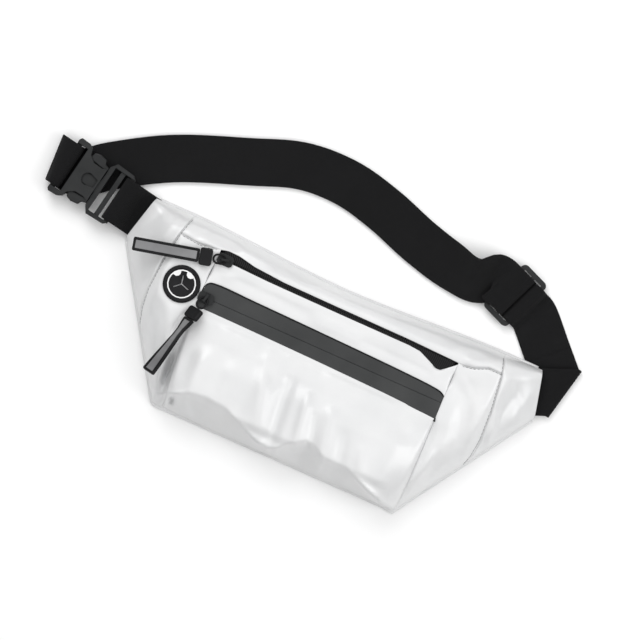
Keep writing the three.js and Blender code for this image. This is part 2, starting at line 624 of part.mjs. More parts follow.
add('belt_return_run', strap([
  ...route.map(([x, y]) => [x, y, layer[1]]),
  ...[
    [-24, layer[1] + 0.25, -2.6], [-21.4, layer[1] + 1.05, -0.8], [-18.6, overBars - 2.3],
    [-15.4, overBars + 1.2], [-11.4, overBars + 1.95], [-8, overBars + 1.6], [-4, overBars + 0.4],
    [0, overBars - 0.1], [barTurn - 0.7, overBars - 0.7], [barTurn, barMiddle],
    [barTurn - 0.9, layer[1] + 0.85], [0, layer[1] + 0.3], [-2.2, layer[1] + 0.5],
  ].map(besideTriglide),
], 88).subtract(underBuckle), finish.webbing);

// ---- Strap adjuster ----
const adjuster = new THREE.Group();
adjuster.position.set(...triglideAt, 0);
adjuster.rotation.z = rad(triglide.turn);
root.add(adjuster);
const frameHalf = innerHalf + triglide.rail;
let frame = prism(roundedPlate(triglide.length, 2 * frameHalf, 4), ...midBar, 4);
const window = triglide.length / 2 - triglide.bar;
frame = frame.subtract(block(-window, window, -innerHalf, innerHalf, 0, past));
const cross = triglide.crossBar / 2;
frame = frame.add(block(-cross, cross, -innerHalf - 1, innerHalf + 1, ...midBar));
add('triglide', frame, finish.plastic, adjuster);

export default root;
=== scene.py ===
import math
import bpy
import bmesh
import numpy as np
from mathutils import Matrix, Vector
from mathutils.bvhtree import BVHTree
from mathutils.interpolate import poly_3d_calc


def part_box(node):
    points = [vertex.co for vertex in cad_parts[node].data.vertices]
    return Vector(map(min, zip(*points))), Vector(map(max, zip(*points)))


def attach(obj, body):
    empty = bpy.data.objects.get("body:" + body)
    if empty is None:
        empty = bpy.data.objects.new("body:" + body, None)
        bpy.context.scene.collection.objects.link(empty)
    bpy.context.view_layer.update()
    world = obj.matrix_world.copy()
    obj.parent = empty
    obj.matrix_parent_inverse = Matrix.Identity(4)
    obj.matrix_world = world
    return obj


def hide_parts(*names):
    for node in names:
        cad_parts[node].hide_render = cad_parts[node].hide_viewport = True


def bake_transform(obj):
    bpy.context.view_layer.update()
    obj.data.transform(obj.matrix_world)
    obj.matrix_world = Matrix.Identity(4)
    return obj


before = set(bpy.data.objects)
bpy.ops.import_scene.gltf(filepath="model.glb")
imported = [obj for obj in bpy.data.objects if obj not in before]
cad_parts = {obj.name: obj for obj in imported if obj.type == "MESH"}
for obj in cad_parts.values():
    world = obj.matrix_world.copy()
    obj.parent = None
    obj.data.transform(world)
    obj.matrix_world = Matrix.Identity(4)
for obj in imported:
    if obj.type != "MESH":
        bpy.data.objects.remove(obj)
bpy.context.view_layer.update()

# Waist bag lying on its back: coated fabric front, two zips, a cable port and a buckled belt.
# Shapes are worked out in millimetres and brought to metres as each mesh is finished.
mm = 0.001


def boxOf(node):
    low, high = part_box(node)
    return [c / mm for c in low], [c / mm for c in high]


backLow, backHigh = boxOf("back_panel")
portLow, portHigh = boxOf("port_ring")

bag = dict(
    topX=168, endX=backHigh[0], bottomX=105, topY=backHigh[1], endY=38, bottomY=backLow[1],
    frontZ=40, endZ=10, rimZ=2.2, skin=1.0,
    sag=6,  # how far the top edge dips at the middle
    fallX=137,  # where the front starts to fall towards the ends
)
roundOver = dict(bottom=19, leftSlant=27, rightSlant=40, end=6)
bulge = dict(height=3.2, left=-96, right=100, low=-57, high=-10, soft=18)
panelStep = 1.7


# small helpers for numbers
def smooth(t):
    t = min(max(t, 0), 1)
    return t * t * (3 - 2 * t)


def bell(d, width):
    return math.exp(-(d / width) ** 2)


def lineHeight(points, x):  # height of a line of [x, y] points at x
    return float(np.interp(x, [p[0] for p in points], [p[1] for p in points]))


def evenly(points, shares):  # points at these shares of the length of a line of points
    p = np.array(points, float)
    run = np.concatenate([[0], np.cumsum(np.linalg.norm(np.diff(p, axis=0), axis=1))])
    at = np.asarray(shares) * run[-1]
    return np.stack([np.interp(at, run, p[:, k]) for k in range(p.shape[1])], axis=1)


def lineLength(points):
    return float(np.linalg.norm(np.diff(np.array(points, float), axis=0), axis=1).sum())


def throughPoints(points, count):  # a centripetal curve through the points, count steps for each stretch
    p = [np.array(q, float) for q in points]
    p = [2 * p[0] - p[1], *p, 2 * p[-1] - p[-2]]
    made = []
    for a, b, c, d in zip(p, p[1:], p[2:], p[3:]):
        t = [0]
        for q, r in ((a, b), (b, c), (c, d)):
            t.append(t[-1] + max(np.linalg.norm(r - q), 1e-6) ** 0.5)
        for k in range(count):
            s = t[1] + (t[2] - t[1]) * k / count
            ab = a + (b - a) * (s - t[0]) / (t[1] - t[0])
            bc = b + (c - b) * (s - t[1]) / (t[2] - t[1])
            cd = c + (d - c) * (s - t[2]) / (t[3] - t[2])
            abc = ab + (bc - ab) * (s - t[0]) / (t[2] - t[0])
            bcd = bc + (cd - bc) * (s - t[1]) / (t[3] - t[1])
            made.append(abc + (bcd - abc) * (s - t[1]) / (t[2] - t[1]))
    return np.array([*made, p[-2]])


def inLine(place, heading, x, y):  # a point's distance along a heading from a place, and to its left
    c, s = math.cos(math.radians(heading)), math.sin(math.radians(heading))
    return (x - place[0]) * c + (y - place[1]) * s, (y - place[1]) * c - (x - place[0]) * s


def spread(length, pitch, edge=(0, 0.4, 1.0, 2.0, 3.4)):  # shares along a side, closer at both ends
    if length < 4 * edge[-1]:
        return np.linspace(0, 1, max(4, round(length / pitch) + 1))
    inner = np.linspace(edge[-1], length - edge[-1], max(2, round((length - 2 * edge[-1]) / pitch) + 1))
    return np.array([*edge[:-1], *inner, *(length - e for e in edge[-2::-1])]) / length


# small helpers for meshes
def shapedGrid(rows, columns, place, wrap=False):  # a grid whose point (i, j) is moved to place(i, j)
    bm = bmesh.new()
    bmesh.ops.create_grid(bm, x_segments=rows - 1, y_segments=columns - 1, size=1)
    uv = bm.loops.layers.uv.new("cloth")
    index = {}
    for v in bm.verts:
        index[v] = (round((v.co.x + 1) / 2 * (rows - 1)), round((v.co.y + 1) / 2 * (columns - 1)))
    for v, (i, j) in index.items():
        v.co = place(i, j)
    for face in bm.faces:
        for loop in face.loops:
            i, j = index[loop.vert]
            loop[uv].uv = (i / (rows - 1), j / (columns - 1))
    if wrap:
        bmesh.ops.remove_doubles(bm, verts=bm.verts, dist=1e-4)
    return bm


def faceUp(bm):
    if sum(f.normal.z for f in bm.faces) < 0:
        bmesh.ops.reverse_faces(bm, faces=bm.faces)


def closeEnds(bm):
    bmesh.ops.holes_fill(bm, edges=[e for e in bm.edges if e.is_boundary], sides=0)


def areaOf(bm):  # in square metres, of a mesh still in millimetres
    return sum(f.calc_area() for f in bm.faces) * mm * mm


def finishPiece(name, bm, material, slotName, body="bag", shade=True, toMetres=True):
    if toMetres:
        bmesh.ops.scale(bm, vec=(mm, mm, mm), verts=bm.verts)
    name = name.replace(" ", "_") + "_made"
    mesh = bpy.data.meshes.new(name)
    bm.to_mesh(mesh)
    bm.free()
    piece = bpy.data.objects.new(name, mesh)
    bpy.context.scene.collection.objects.link(piece)
    mesh.materials.append(material)
    mesh.polygons.foreach_set("use_smooth", [shade] * len(mesh.polygons))
    if body:
        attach(piece, body)
    return piece


def thicken(piece, thickness, offset=-1):
    wall = piece.modifiers.new("cloth thickness", "SOLIDIFY")
    wall.thickness = thickness * mm
    wall.offset = offset
    return wall


def roundEdges(piece, width, segments=2, angle=30):
    edges = piece.modifiers.new("rounded edges", "BEVEL")
    edges.width = width * mm
    edges.segments = segments
    edges.limit_method = "ANGLE"
    edges.angle_limit = math.radians(angle)
    edges.harden_normals = False


def mergedCopy(node):  # a clean copy of a rigid part, in millimetres
    bm = bmesh.new()
    bm.from_mesh(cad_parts[node].data)
    bm.transform(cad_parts[node].matrix_world)
    bmesh.ops.scale(bm, vec=(1 / mm, 1 / mm, 1 / mm), verts=bm.verts)
    bmesh.ops.remove_doubles(bm, verts=bm.verts, dist=0.002)
    bmesh.ops.dissolve_limit(bm, angle_limit=math.radians(2), verts=bm.verts, edges=bm.edges)
    return bm


def tube(points, radius, sides=8, closed=False):  # a round line along the points
    p = [Vector(q) for q in points]
    count = len(p)
    frames = []
    side = None
    for k in range(count):
        before = p[k - 1] if k or closed else p[0]
        after = p[(k + 1) % count] if k < count - 1 or closed else p[-1]
        along = (after - before).normalized()
        guess = side if side else Vector((0, 0, 1)) if abs(along.z) < 0.9 else Vector((1, 0, 0))
        side = (guess - along * guess.dot(along)).normalized()
        frames.append((side, along.cross(side)))

    def place(i, j):
        k = i % count
        turn = 2 * math.pi * j / sides
        a, b = frames[k]
        return p[k] + (a * math.cos(turn) + b * math.sin(turn)) * radius

    bm = shapedGrid(count + 1 if closed else count, sides + 1, place, wrap=True)
    if not closed:
        closeEnds(bm)
    bmesh.ops.recalc_face_normals(bm, faces=bm.faces)
    return bm


def joined(parts):  # several meshes as one
    whole = bmesh.new()
    whole.loops.layers.uv.new("cloth")
    for bm in parts:
        mesh = bpy.data.meshes.new("part")
        bm.to_mesh(mesh)
        bm.free()
        whole.from_mesh(mesh)
        bpy.data.meshes.remove(mesh)
    return whole


# materials
class Finish:  # a material with its nodes near at hand
    def __init__(self, name, roughness, **sockets):
        self.material = bpy.data.materials.new(name)
        self.material.use_nodes = True
        self.tree = self.material.node_tree
        self.shader = self.tree.nodes["Principled BSDF"]
        self.shader.inputs["Roughness"].default_value = roughness
        for key, value in sockets.items():
            self.shader.inputs[key.replace("_", " ")].default_value = value
        self.coordinates = self.tree.nodes.new("ShaderNodeTexCoord")

    def node(self, kind, **settings):
        made = self.tree.nodes.new("ShaderNode" + kind)
        for key, value in settings.items():
            if hasattr(made, key):
                setattr(made, key, value)
            else:
                made.inputs[key].default_value = value
        return made

    def link(self, a, b):
        self.tree.links.new(a, b)

    def placed(self, scale, turn=0, source="Object"):
        mapping = self.node("Mapping")
        mapping.inputs["Scale"].default_value = scale
        mapping.inputs["Rotation"].default_value = (0, 0, turn)
        self.link(self.coordinates.outputs[source], mapping.inputs["Vector"])
        return mapping.outputs["Vector"]

    def noise(self, scale, detail=3, vector=None, roughness=0.5):
        made = self.node("TexNoise")
        made.inputs["Scale"].default_value = scale
        made.inputs["Detail"].default_value = detail
        made.inputs["Roughness"].default_value = roughness
        self.link(vector or self.coordinates.outputs["Object"], made.inputs["Vector"])
        return made.outputs["Fac"]

    def wave(self, scale, axis, vector, distortion=0.0, profile="SIN"):
        made = self.node("TexWave", bands_direction=axis, wave_profile=profile)
        made.inputs["Scale"].default_value = scale
        made.inputs["Distortion"].default_value = distortion
        self.link(vector, made.inputs["Vector"])
        return made.outputs["Fac"]

    def math(self, operation, a, b):
        made = self.node("Math", operation=operation)
        for socket, value in zip(made.inputs, (a, b)):
            if isinstance(value, (int, float)):
                socket.default_value = value
            else:
                self.link(value, socket)
        return made.outputs[0]

    def ramp(self, factor, *stops):
        made = self.node("ValToRGB")
        stages = made.color_ramp.elements
        while len(stages) < len(stops):
            stages.new(0.5)
        for stage, (place, colour) in zip(stages, stops):
            stage.position = place
            stage.color = (*colour, 1)
        self.link(factor, made.inputs["Fac"])
        return made.outputs["Color"]

    def spanned(self, factor, low, high):
        made = self.node("MapRange")
        made.inputs["To Min"].default_value = low
        made.inputs["To Max"].default_value = high
        self.link(factor, made.inputs["Value"])
        return made.outputs["Result"]

    def bump(self, height, strength, distance, before=None):
        made = self.node("Bump")
        made.inputs["Strength"].default_value = strength
        made.inputs["Distance"].default_value = distance
        self.link(height, made.inputs["Height"])
        if before:
            self.link(before, made.inputs["Normal"])
        return made.outputs["Normal"]

    def done(self, colour=None, roughness=None, normal=None):
        for key, value in (("Base Color", colour), ("Roughness", roughness), ("Normal", normal)):
            if value:
                self.link(value, self.shader.inputs[key])
        return self.material


def coatedFabric():
    f = Finish("coated white fabric", 0.34, Coat_Weight=0.45, Coat_Roughness=0.2, Specular_IOR_Level=0.6)
    cloud = f.noise(26, 4)
    grain = f.noise(1500, 2)
    crinkle = f.noise(120, 5, roughness=0.6)
    colour = f.ramp(cloud, (0.3, (0.69, 0.695, 0.70)), (0.7, (0.75, 0.752, 0.755)))
    rough = f.spanned(f.noise(60, 4), 0.30, 0.44)
    normal = f.bump(crinkle, 0.16, 0.0006)
    return f.done(colour, rough, f.bump(grain, 0.12, 0.00012, normal))


def liningCloth():
    f = Finish("grey lining cloth", 0.8, Sheen_Weight=0.15)
    warp = f.wave(700, "X", f.coordinates.outputs["Object"])
    weft = f.wave(700, "Y", f.coordinates.outputs["Object"])
    weave = f.math("MULTIPLY", warp, weft)
    colour = f.ramp(f.noise(40), (0.3, (0.52, 0.53, 0.54)), (0.7, (0.6, 0.61, 0.62)))
    return f.done(colour, None, f.bump(weave, 0.4, 0.0003))


def backMesh():
    f = Finish("padded back mesh", 0.85, Sheen_Weight=0.2)
    holes = f.node("TexVoronoi", feature="F1")
    holes.inputs["Scale"].default_value = 330
    f.link(f.coordinates.outputs["Object"], holes.inputs["Vector"])
    colour = f.ramp(holes.outputs["Distance"], (0.1, (0.30, 0.31, 0.32)), (0.6, (0.66, 0.67, 0.68)))
    return f.done(colour, None, f.bump(holes.outputs["Distance"], 0.5, 0.0006))


def blackWebbing():
    f = Finish("black webbing", 0.82, Sheen_Weight=0.03, Sheen_Roughness=0.5, Specular_IOR_Level=0.12)
    vector = f.coordinates.outputs["UV"]
    ribs = f.wave(4.2, "X", f.placed((38, 1, 1), source="UV"))
    picks = f.wave(90, "Y", f.placed((1, 4.5, 1), source="UV"), 0.6)
    weave = f.math("ADD", f.math("MULTIPLY", ribs, 0.45), f.math("MULTIPLY", picks, 0.55))
    fibre = f.noise(2600, 2)
    colour = f.ramp(weave, (0.2, (0.0035, 0.0035, 0.0038)), (0.9, (0.016, 0.016, 0.017)))
    rough = f.spanned(fibre, 0.72, 0.92)
    normal = f.bump(weave, 0.55, 0.0004)
    return f.done(colour, rough, f.bump(fibre, 0.2, 0.0001, normal))


def mouldedPlastic(name="dark moulded plastic", low=(0.012, 0.013, 0.0135), high=(0.024, 0.025, 0.0255)):
    f = Finish(name, 0.40, Specular_IOR_Level=0.2)
    colour = f.ramp(f.noise(45, 3), (0.3, low), (0.7, high))
    rough = f.spanned(f.noise(300, 3), 0.34, 0.52)
    return f.done(colour, rough, f.bump(f.noise(1900, 2), 0.22, 0.0001))


def coatedTape():
    f = Finish("charcoal coated tape", 0.38, Specular_IOR_Level=0.3)
    weave = f.wave(420, "DIAGONAL", f.coordinates.outputs["Object"])
    colour = f.ramp(f.noise(30, 4), (0.25, (0.026, 0.0275, 0.028)), (0.75, (0.046, 0.0475, 0.048)))
    rough = f.spanned(f.noise(160, 4), 0.3, 0.46)
    return f.done(colour, rough, f.bump(weave, 0.15, 0.00015, f.bump(f.noise(220, 3), 0.1, 0.0004)))


def wovenTape():
    f = Finish("black woven tape", 0.8, Specular_IOR_Level=0.1)
    weave = f.wave(330, "DIAGONAL", f.coordinates.outputs["Object"])
    colour = f.ramp(weave, (0.25, (0.004, 0.004, 0.004)), (0.85, (0.030, 0.030, 0.031)))
    return f.done(colour, None, f.bump(weave, 0.6, 0.0004))


def blackRubber():
    f = Finish("black soft rubber", 0.5, Specular_IOR_Level=0.14)
    colour = f.ramp(f.noise(60, 3), (0.3, (0.006, 0.006, 0.0065)), (0.7, (0.014, 0.014, 0.015)))
    rough = f.spanned(f.noise(240, 3), 0.42, 0.6)
    return f.done(colour, rough, f.bump(f.noise(1400, 2), 0.25, 0.00012))


def reflectiveStripe():
    f = Finish("grey reflective stripe", 0.34, Metallic=0.25)
    beads = f.node("TexVoronoi", feature="F1")
    beads.inputs["Scale"].default_value = 1600
    f.link(f.coordinates.outputs["Object"], beads.inputs["Vector"])
    colour = f.ramp(f.noise(50, 3), (0.3, (0.16, 0.16, 0.165)), (0.7, (0.24, 0.24, 0.245)))
    return f.done(colour, None, f.bump(beads.outputs["Distance"], 0.3, 0.0001))


def whitePrint():
    f = Finish("white print", 0.5)
    colour = f.ramp(f.noise(300, 3), (0.3, (0.78, 0.78, 0.78)), (0.7, (0.88, 0.88, 0.88)))
    return f.done(colour, None, f.bump(f.noise(900, 2), 0.1, 0.0001))


def greyThread():
    f = Finish("grey thread", 0.7, Sheen_Weight=0.2)
    twist = f.wave(2400, "DIAGONAL", f.coordinates.outputs["Object"])
    colour = f.ramp(twist, (0.2, (0.13, 0.135, 0.14)), (0.8, (0.24, 0.245, 0.25)))
    return f.done(colour, None, f.bump(twist, 0.4, 0.0001))


def palePaper():
    f = Finish("pale floor", 0.85, Specular_IOR_Level=0.1)
    colour = f.ramp(f.noise(3, 2), (0.3, (0.93, 0.93, 0.93)), (0.7, (0.95, 0.95, 0.95)))
    return f.done(colour)


fabric = coatedFabric()
lining = liningCloth()
backCloth = backMesh()
webbing = blackWebbing()
plastic = mouldedPlastic()
coilPlastic = mouldedPlastic("black zip teeth", (0.005, 0.005, 0.005), (0.014, 0.014, 0.014))
coatedTapeFinish = coatedTape()
wovenTapeFinish = wovenTape()
rubber = blackRubber()
stripeFinish = reflectiveStripe()
printFinish = whitePrint()
thread = greyThread()
print("materials ready")

# camera, lights and floor
shot = dict(centre=(-0.00995, 0.0404), turn=24, width=0.5056, height=3.0, sensor=36)


def setCamera():
    camera = bpy.data.cameras.new("camera")
    camera.sensor_width = shot["sensor"]
    camera.lens = shot["sensor"] * (shot["height"] - 0.03) / shot["width"]
    camera.clip_start = 0.1
    camera.clip_end = 50
    holder = bpy.data.objects.new("camera", camera)
    holder.location = (*shot["centre"], shot["height"])
    holder.rotation_euler = (0, 0, math.radians(shot["turn"]))
    bpy.context.scene.collection.objects.link(holder)
    bpy.context.scene.camera = holder


studio = dict(
    horizon=0.05, middle=0.33, zenith=1.30,
    lamps=[  # name, place, size, power
        ("key softbox", (-0.8, 1.1, 1.35), 1.15, 13.5),
        ("fill softbox", (1.35, 0.1, 1.1), 1.0, 9),
    ],
)


def lightStudio():
    world = bpy.data.worlds.new("studio")
    bpy.context.scene.world = world
    world.use_nodes = True
    nodes, links = world.node_tree.nodes, world.node_tree.links
    place = nodes.new("ShaderNodeTexCoord")
    split = nodes.new("ShaderNodeSeparateXYZ")
    ramp = nodes.new("ShaderNodeValToRGB")
    stages = ramp.color_ramp.elements
    stages.new(0.45)
    for stage, (where, level) in zip(stages, ((0, "horizon"), (0.45, "middle"), (1, "zenith"))):
        stage.position = where
        stage.color = (studio[level], studio[level], studio[level], 1)
    links.new(place.outputs["Generated"], split.inputs["Vector"])
    links.new(split.outputs["Z"], ramp.inputs["Fac"])
    links.new(ramp.outputs["Color"], nodes["Background"].inputs["Color"])
    for name, where, size, power in studio["lamps"]:
        lamp = bpy.data.lights.new(name, "AREA")
        lamp.size = size
        lamp.energy = power
        holder = bpy.data.objects.new(name, lamp)
        holder.location = where
        towards = Vector((0, 0.03, 0)) - Vector(where)
        holder.rotation_euler = towards.to_track_quat("-Z", "Y").to_euler()
        bpy.context.scene.collection.objects.link(holder)
    bm = bmesh.new()
    bmesh.ops.create_grid(bm, x_segments=2, y_segments=2, size=3)
    mesh = bpy.data.meshes.new("floor")
    bm.to_mesh(mesh)
    bm.free()
    floor = bpy.data.objects.new("floor", mesh)
    floor.location.z = -0.0006
    bpy.context.scene.collection.objects.link(floor)
    mesh.materials.append(palePaper())
    bpy.context.scene.view_settings.view_transform = "Standard"


setCamera()
lightStudio()
print("camera, lights and floor ready")

# the front's shape
# Seams and edges in plan, each a line of points.
seams = dict(
    leftWing=[(-134, 76), (-138.6, 58), (-142.5, 34), (-144.6, 8), (-143.4, -8), (-140.2, -22)],
    rightWing=[(135, 76), (139, 60), (143.2, 30), (145, 5), (144, -10), (141.4, -20)],
    strip=[(-138.6, 58.4), (-120, 56.6), (-106, 58.6), (-97, 61), (-88, 60.6), (-74, 57.6), (-48,
           55.7), (0, 55.3),
           (60, 55), (98, 54), (108, 53.6), (116, 55), (127, 60), (139, 60)],
    zipLow=[(-103.5, 53), (-96, 52.4), (-60, 51.3), (0, 50.9), (62, 50.8), (72, 50), (82, 45.8), (88, 43.2),
            (92.5, 43), (97, 46.6), (103.5, 52.4)],
    bandTop=[(-104.4, 25), (-103.8, 28.6), (-101.5, 31.6), (-97, 32.9), (-60, 32.6), (0, 31.6), (60, 30.2),
             (92, 28.8), (100, 27.6), (103.8, 25.4)],
    bandLow=[(-103.6, 11), (-60, 10.7), (0, 9.8), (60, 8.4), (104.4, 6.6)],
    pocketLeft=[(-103.6, 11), (-103.4, -10), (-102, -30), (-99.5, -50), (-97, -64), (-96.5, -74)],
    pocketRight=[(104.4, 6.6), (105.2, -20), (105.6, -43), (105.4, -62), (105.4, -77.6)],
    bottom=[(-96.5, -74), (-60, -75.4), (0, -76), (60, -75.6), (90, -75.8), (105.4, -77.6)],
)
seams["bandTop"] = [tuple(p) for p in throughPoints(seams["bandTop"], 5)]
slantLeft = [(-178, 38), (-141.5, -20.5), (-106, -75)]
slantRight = [(178, 38), (141.8, -20), (105.8, -77.4)]

# Folds in the cloth: from, to, height (less than nothing for a hollow) and half width.
folds = [
    ((-99, -60), (-82, -57), 2.4, 2.8), ((-93, -66), (-90, -65), -10.0, 3.2), ((-88, -69), (-60, -73),
    1.8, 4.0),
    ((-105, -34), (-103, -54), -6.5, 3.0), ((-106, -12), (-110, -46), 1.5, 4.5),
    ((-84, -22), (-80, -52), 1.4, 5.0), ((-66, -14), (-66, -50), -1.5, 7.0),
    ((-36, -6), (-20, -60), 2.3, 6.0), ((-12, -14), (-7, -72), -3.2, 5.5), ((6, -18), (12, -56), 2.6, 4.5),
    ((17, -30), (25, -60), -1.8, 4.0), ((28, -22), (34, -58), 1.8, 5.0), ((44, -34), (50, -60), -1.9, 5.0),
    ((62, -40), (70, -62), 1.5, 5.0), ((30, -60), (38, -70), 2.2, 3.0), ((46, -68), (56, -72), -2.4, 3.2),
    ((59, -61), (104, -77), 2.6, 3.6), ((66, -69), (90, -74), -2.4, 3.4), ((12, -64), (26, -72), -2.2, 4.0),
    ((-60, -60), (-42, -71), 2.0, 4.5), ((-76, -62), (-66, -72), -2.0, 4.0), ((-30, -68), (-18, -74),
    -1.6, 3.0),
    ((148, 30), (152, 4), 1.8, 2.8), ((156, 60), (150, 22), -1.4, 5.0), ((160, 30), (168, 58), 1.2, 4.0),
    ((150, 4), (143, -18), -1.2, 3.4), ((162, 46), (150, 58), -1.0, 3.0),
    ((-157, 71), (-165, 52), -2.0, 3.4), ((-150, 62), (-158, 30), 1.3, 5.0), ((-148, 20), (-150, 2),
    -1.3, 4.0),
    ((-162, 58), (-166, 30), 1.1, 4.0), ((-145, 70), (-150, 48), 1.2, 3.0),
    ((-128, 66), (-92, 64.4), -2.0, 2.8), ((-92, 67), (-62, 64), 1.9, 2.8), ((-60, 60), (-30, 65), -1.2, 3.4),
    ((-118, 64), (-134, 70), 1.4, 2.8), ((-108, 70), (-84, 71), 1.2, 2.2), ((-126, 60), (-116, 71),
    -1.3, 2.4),
    ((-22, 66), (24, 62), 1.1, 3.0), ((20, 66), (80, 67), 0.9, 3.6), ((64, 61), (96, 66), -1.2, 3.0),
    ((100, 60), (124, 68), -1.5, 3.2), ((96, 66), (112, 60), 1.1, 2.6), ((118, 68), (132, 64), 1.0, 2.6),
    ((118, 40), (128, -10), -1.3, 6.0), ((112, -20), (116, -60), 1.3, 4.0), ((130, 30), (136, 2), 1.1, 4.0),
    ((110, 44), (122, 34), 0.9, 3.6), ((122, -20), (112, -52), -1.2, 4.0),
    ((-128, -10), (-122, -46), 1.2, 5.0), ((-136, 34), (-134, 6), 0.9, 4.0), ((-116, -26), (-112, -58),
    -1.4, 3.6),
    ((-112, 44), (-118, 54), -1.4, 3.2), ((-136, 50), (-124, 40), 1.0, 3.4),
    ((-80, 42), (-20, 40), -0.8, 4.0), ((30, 38), (84, 37), -0.9, 3.2), ((-92, 40), (-84, 48), 0.9, 3.0),
]


def topLine(x):
    return bag["topY"] - bag["sag"] * smooth(1 - abs(x) / 140)


def halfWidth(y):  # from the middle of the bag to its edge
    heights = [bag["bottomY"], bag["endY"], bag["topY"]]
    return np.interp(y, heights, [bag["bottomX"], bag["endX"], bag["topX"]])


def fromSlant(x, y):  # how far inside the slanted edge
    (ax, ay), (bx, by) = (bag["endX"], bag["endY"]), (bag["bottomX"], bag["bottomY"])
    length = math.hypot(bx - ax, by - ay)
    return ((abs(x) - ax) * (by - ay) - (y - ay) * (bx - ax)) / length


def over(d, radius):  # how far a quarter round has risen at distance d from the edge
    t = min(max(d / radius, 0), 1)
    return math.sqrt(1 - (1 - t) ** 2)


facetShare = dict(flat=0.72, round=0.28)
facetLine = [  # height of the grey lower facet along the bag
    (-178, 26), (-105, 9), (-95, 14), (-84, 21), (-67, 24), (-49, 22), (-33, 14), (-20, 8.5), (-7, 6),
    (1, 10),
    (9, 18), (20, 25), (29, 22), (37, 17), (57, 17), (70, 12), (82, 6.5), (92, 3.5), (104, 2.5), (112,
    6), (178, 20),
]


def facet(d, radius):  # a flatter fall with a crisp ridge at its top
    t = min(max(d / radius, 0), 1)
    return facetShare["flat"] * t + facetShare["round"] * math.sqrt(1 - (1 - t) ** 2)


def foldHeight(x, y):
    total = 0
    for (ax, ay), (bx, by), height, width in folds:
        dx, dy = bx - ax, by - ay
        reach = dx * dx + dy * dy
        t = ((x - ax) * dx + (y - ay) * dy) / reach
        if -0.6 < t < 1.6:
            near = min(max(t, 0), 1)
            off = math.hypot(x - ax - near * dx, y - ay - near * dy)
            if off < 3 * width:
                total += height * bell(off, width) * smooth(1.2 - abs(t - 0.5) * 1.2)
    return total


def onZips(x, y):  # 1 where the front stays flat, along the zips and round the port
    main = smooth(1 - (abs(y - 53.5) - 6) / 5) * smooth(1 - (abs(x) - 104) / 6)
    band = smooth(1 - (abs(y - 20) - 11) / 6) * smooth(1 - (abs(x) - 106) / 6)
    ring = math.hypot(x - (portLow[0] + portHigh[0]) / 2, y - (portLow[1] + portHigh[1]) / 2)
    return max(main, band, smooth(1 - (ring - 14) / 6))


def crown(x):  # height of the front at x, before its edges round over
    t = max(0, (abs(x) - bag["fallX"]) / (bag["endX"] - bag["fallX"]))
    return bag["frontZ"] - (bag["frontZ"] - bag["endZ"]) * t ** 1.12


def valley(x, y):  # the hollow beside each side of the pocket
    leftX = np.interp(-y, [-11, 10, 30, 50, 64, 74], [-103.6, -103.4, -102, -99.5, -97, -96.5]) - 2.6
    deepLeft = 10.5 * smooth((12 - y) / 34) * smooth((y + 80) / 22)
    left = deepLeft * bell(x - leftX, 5.0 if x < leftX else 2.4)
    right = 1.7 * smooth((8 - y) / 20) * bell(x - 106.5, 3.0)
    return left + right


buckleFrame = ((-221, 67), 170)
foldFrame = ((190, 66), 22)
# place and heading out of the bag of each end's webbing, and how far back it is sewn in
strapEnds = [(buckleFrame, 56), (foldFrame, 30)]
overWebbing = dict(top=7.9, half=22.5)  # height of the cloth over the webbing, and half its raised width


def overStrap(x, y, z):  # the cloth rides up over the webbing sewn into each end
    for end, reach in strapEnds:
        along, across = inLine(*end, x, y)
        lift = smooth((along + reach + 6) / 6) * smooth((overWebbing["half"] - abs(across)) / 2.5)
        if abs(x) > 140 and lift > 0:
            z = max(z, bag["rimZ"] + (overWebbing["top"] - bag["rimZ"]) * lift)
    return z


slackOf = None  # set by the cloth simulation: extra height at (x, y)


def frontHeight(x, y):
    rounding = roundOver["end"] + 12 * smooth((bag["topX"] - abs(x)) / 18)
    if abs(x) < 150:
        rounding = max(topLine(x) - 56.5, 6)
    top = over(topLine(x) - y, rounding)
    bottom = facet(y - bag["bottomY"], lineHeight(facetLine, x))
    wide = roundOver["leftSlant"] if x < 0 else roundOver["rightSlant"]
    wide = roundOver["end"] + (wide - roundOver["end"]) * smooth((172 - abs(x)) / 30)
    slant = over(fromSlant(x, y), wide)
    z = bag["rimZ"] + (crown(x) - bag["rimZ"]) * top * bottom * slant
    middle = smooth((x - bulge["left"]) / bulge["soft"]) * smooth((bulge["right"] - x) / bulge["soft"])
    tall = smooth((bulge["high"] - y) / bulge["soft"]) * smooth((y - bulge["low"] + 6) / 8)
    free = (1 - onZips(x, y)) * min(1, (z - bag["rimZ"]) / 14)
    extra = bulge["height"] * middle * tall - valley(x, y) + foldHeight(x, y)
    if slackOf:
        extra += slackOf(x, y) * smooth(1 - 0.6 * onZips(x, y))
    return overStrap(x, y, max(z + extra * free, bag["rimZ"]))


# cloth simulation of the front
slack = dict(spacing=4.5, pressure=2.6, shrink=-0.035, frames=20, cap=3.2, smoothing=2)


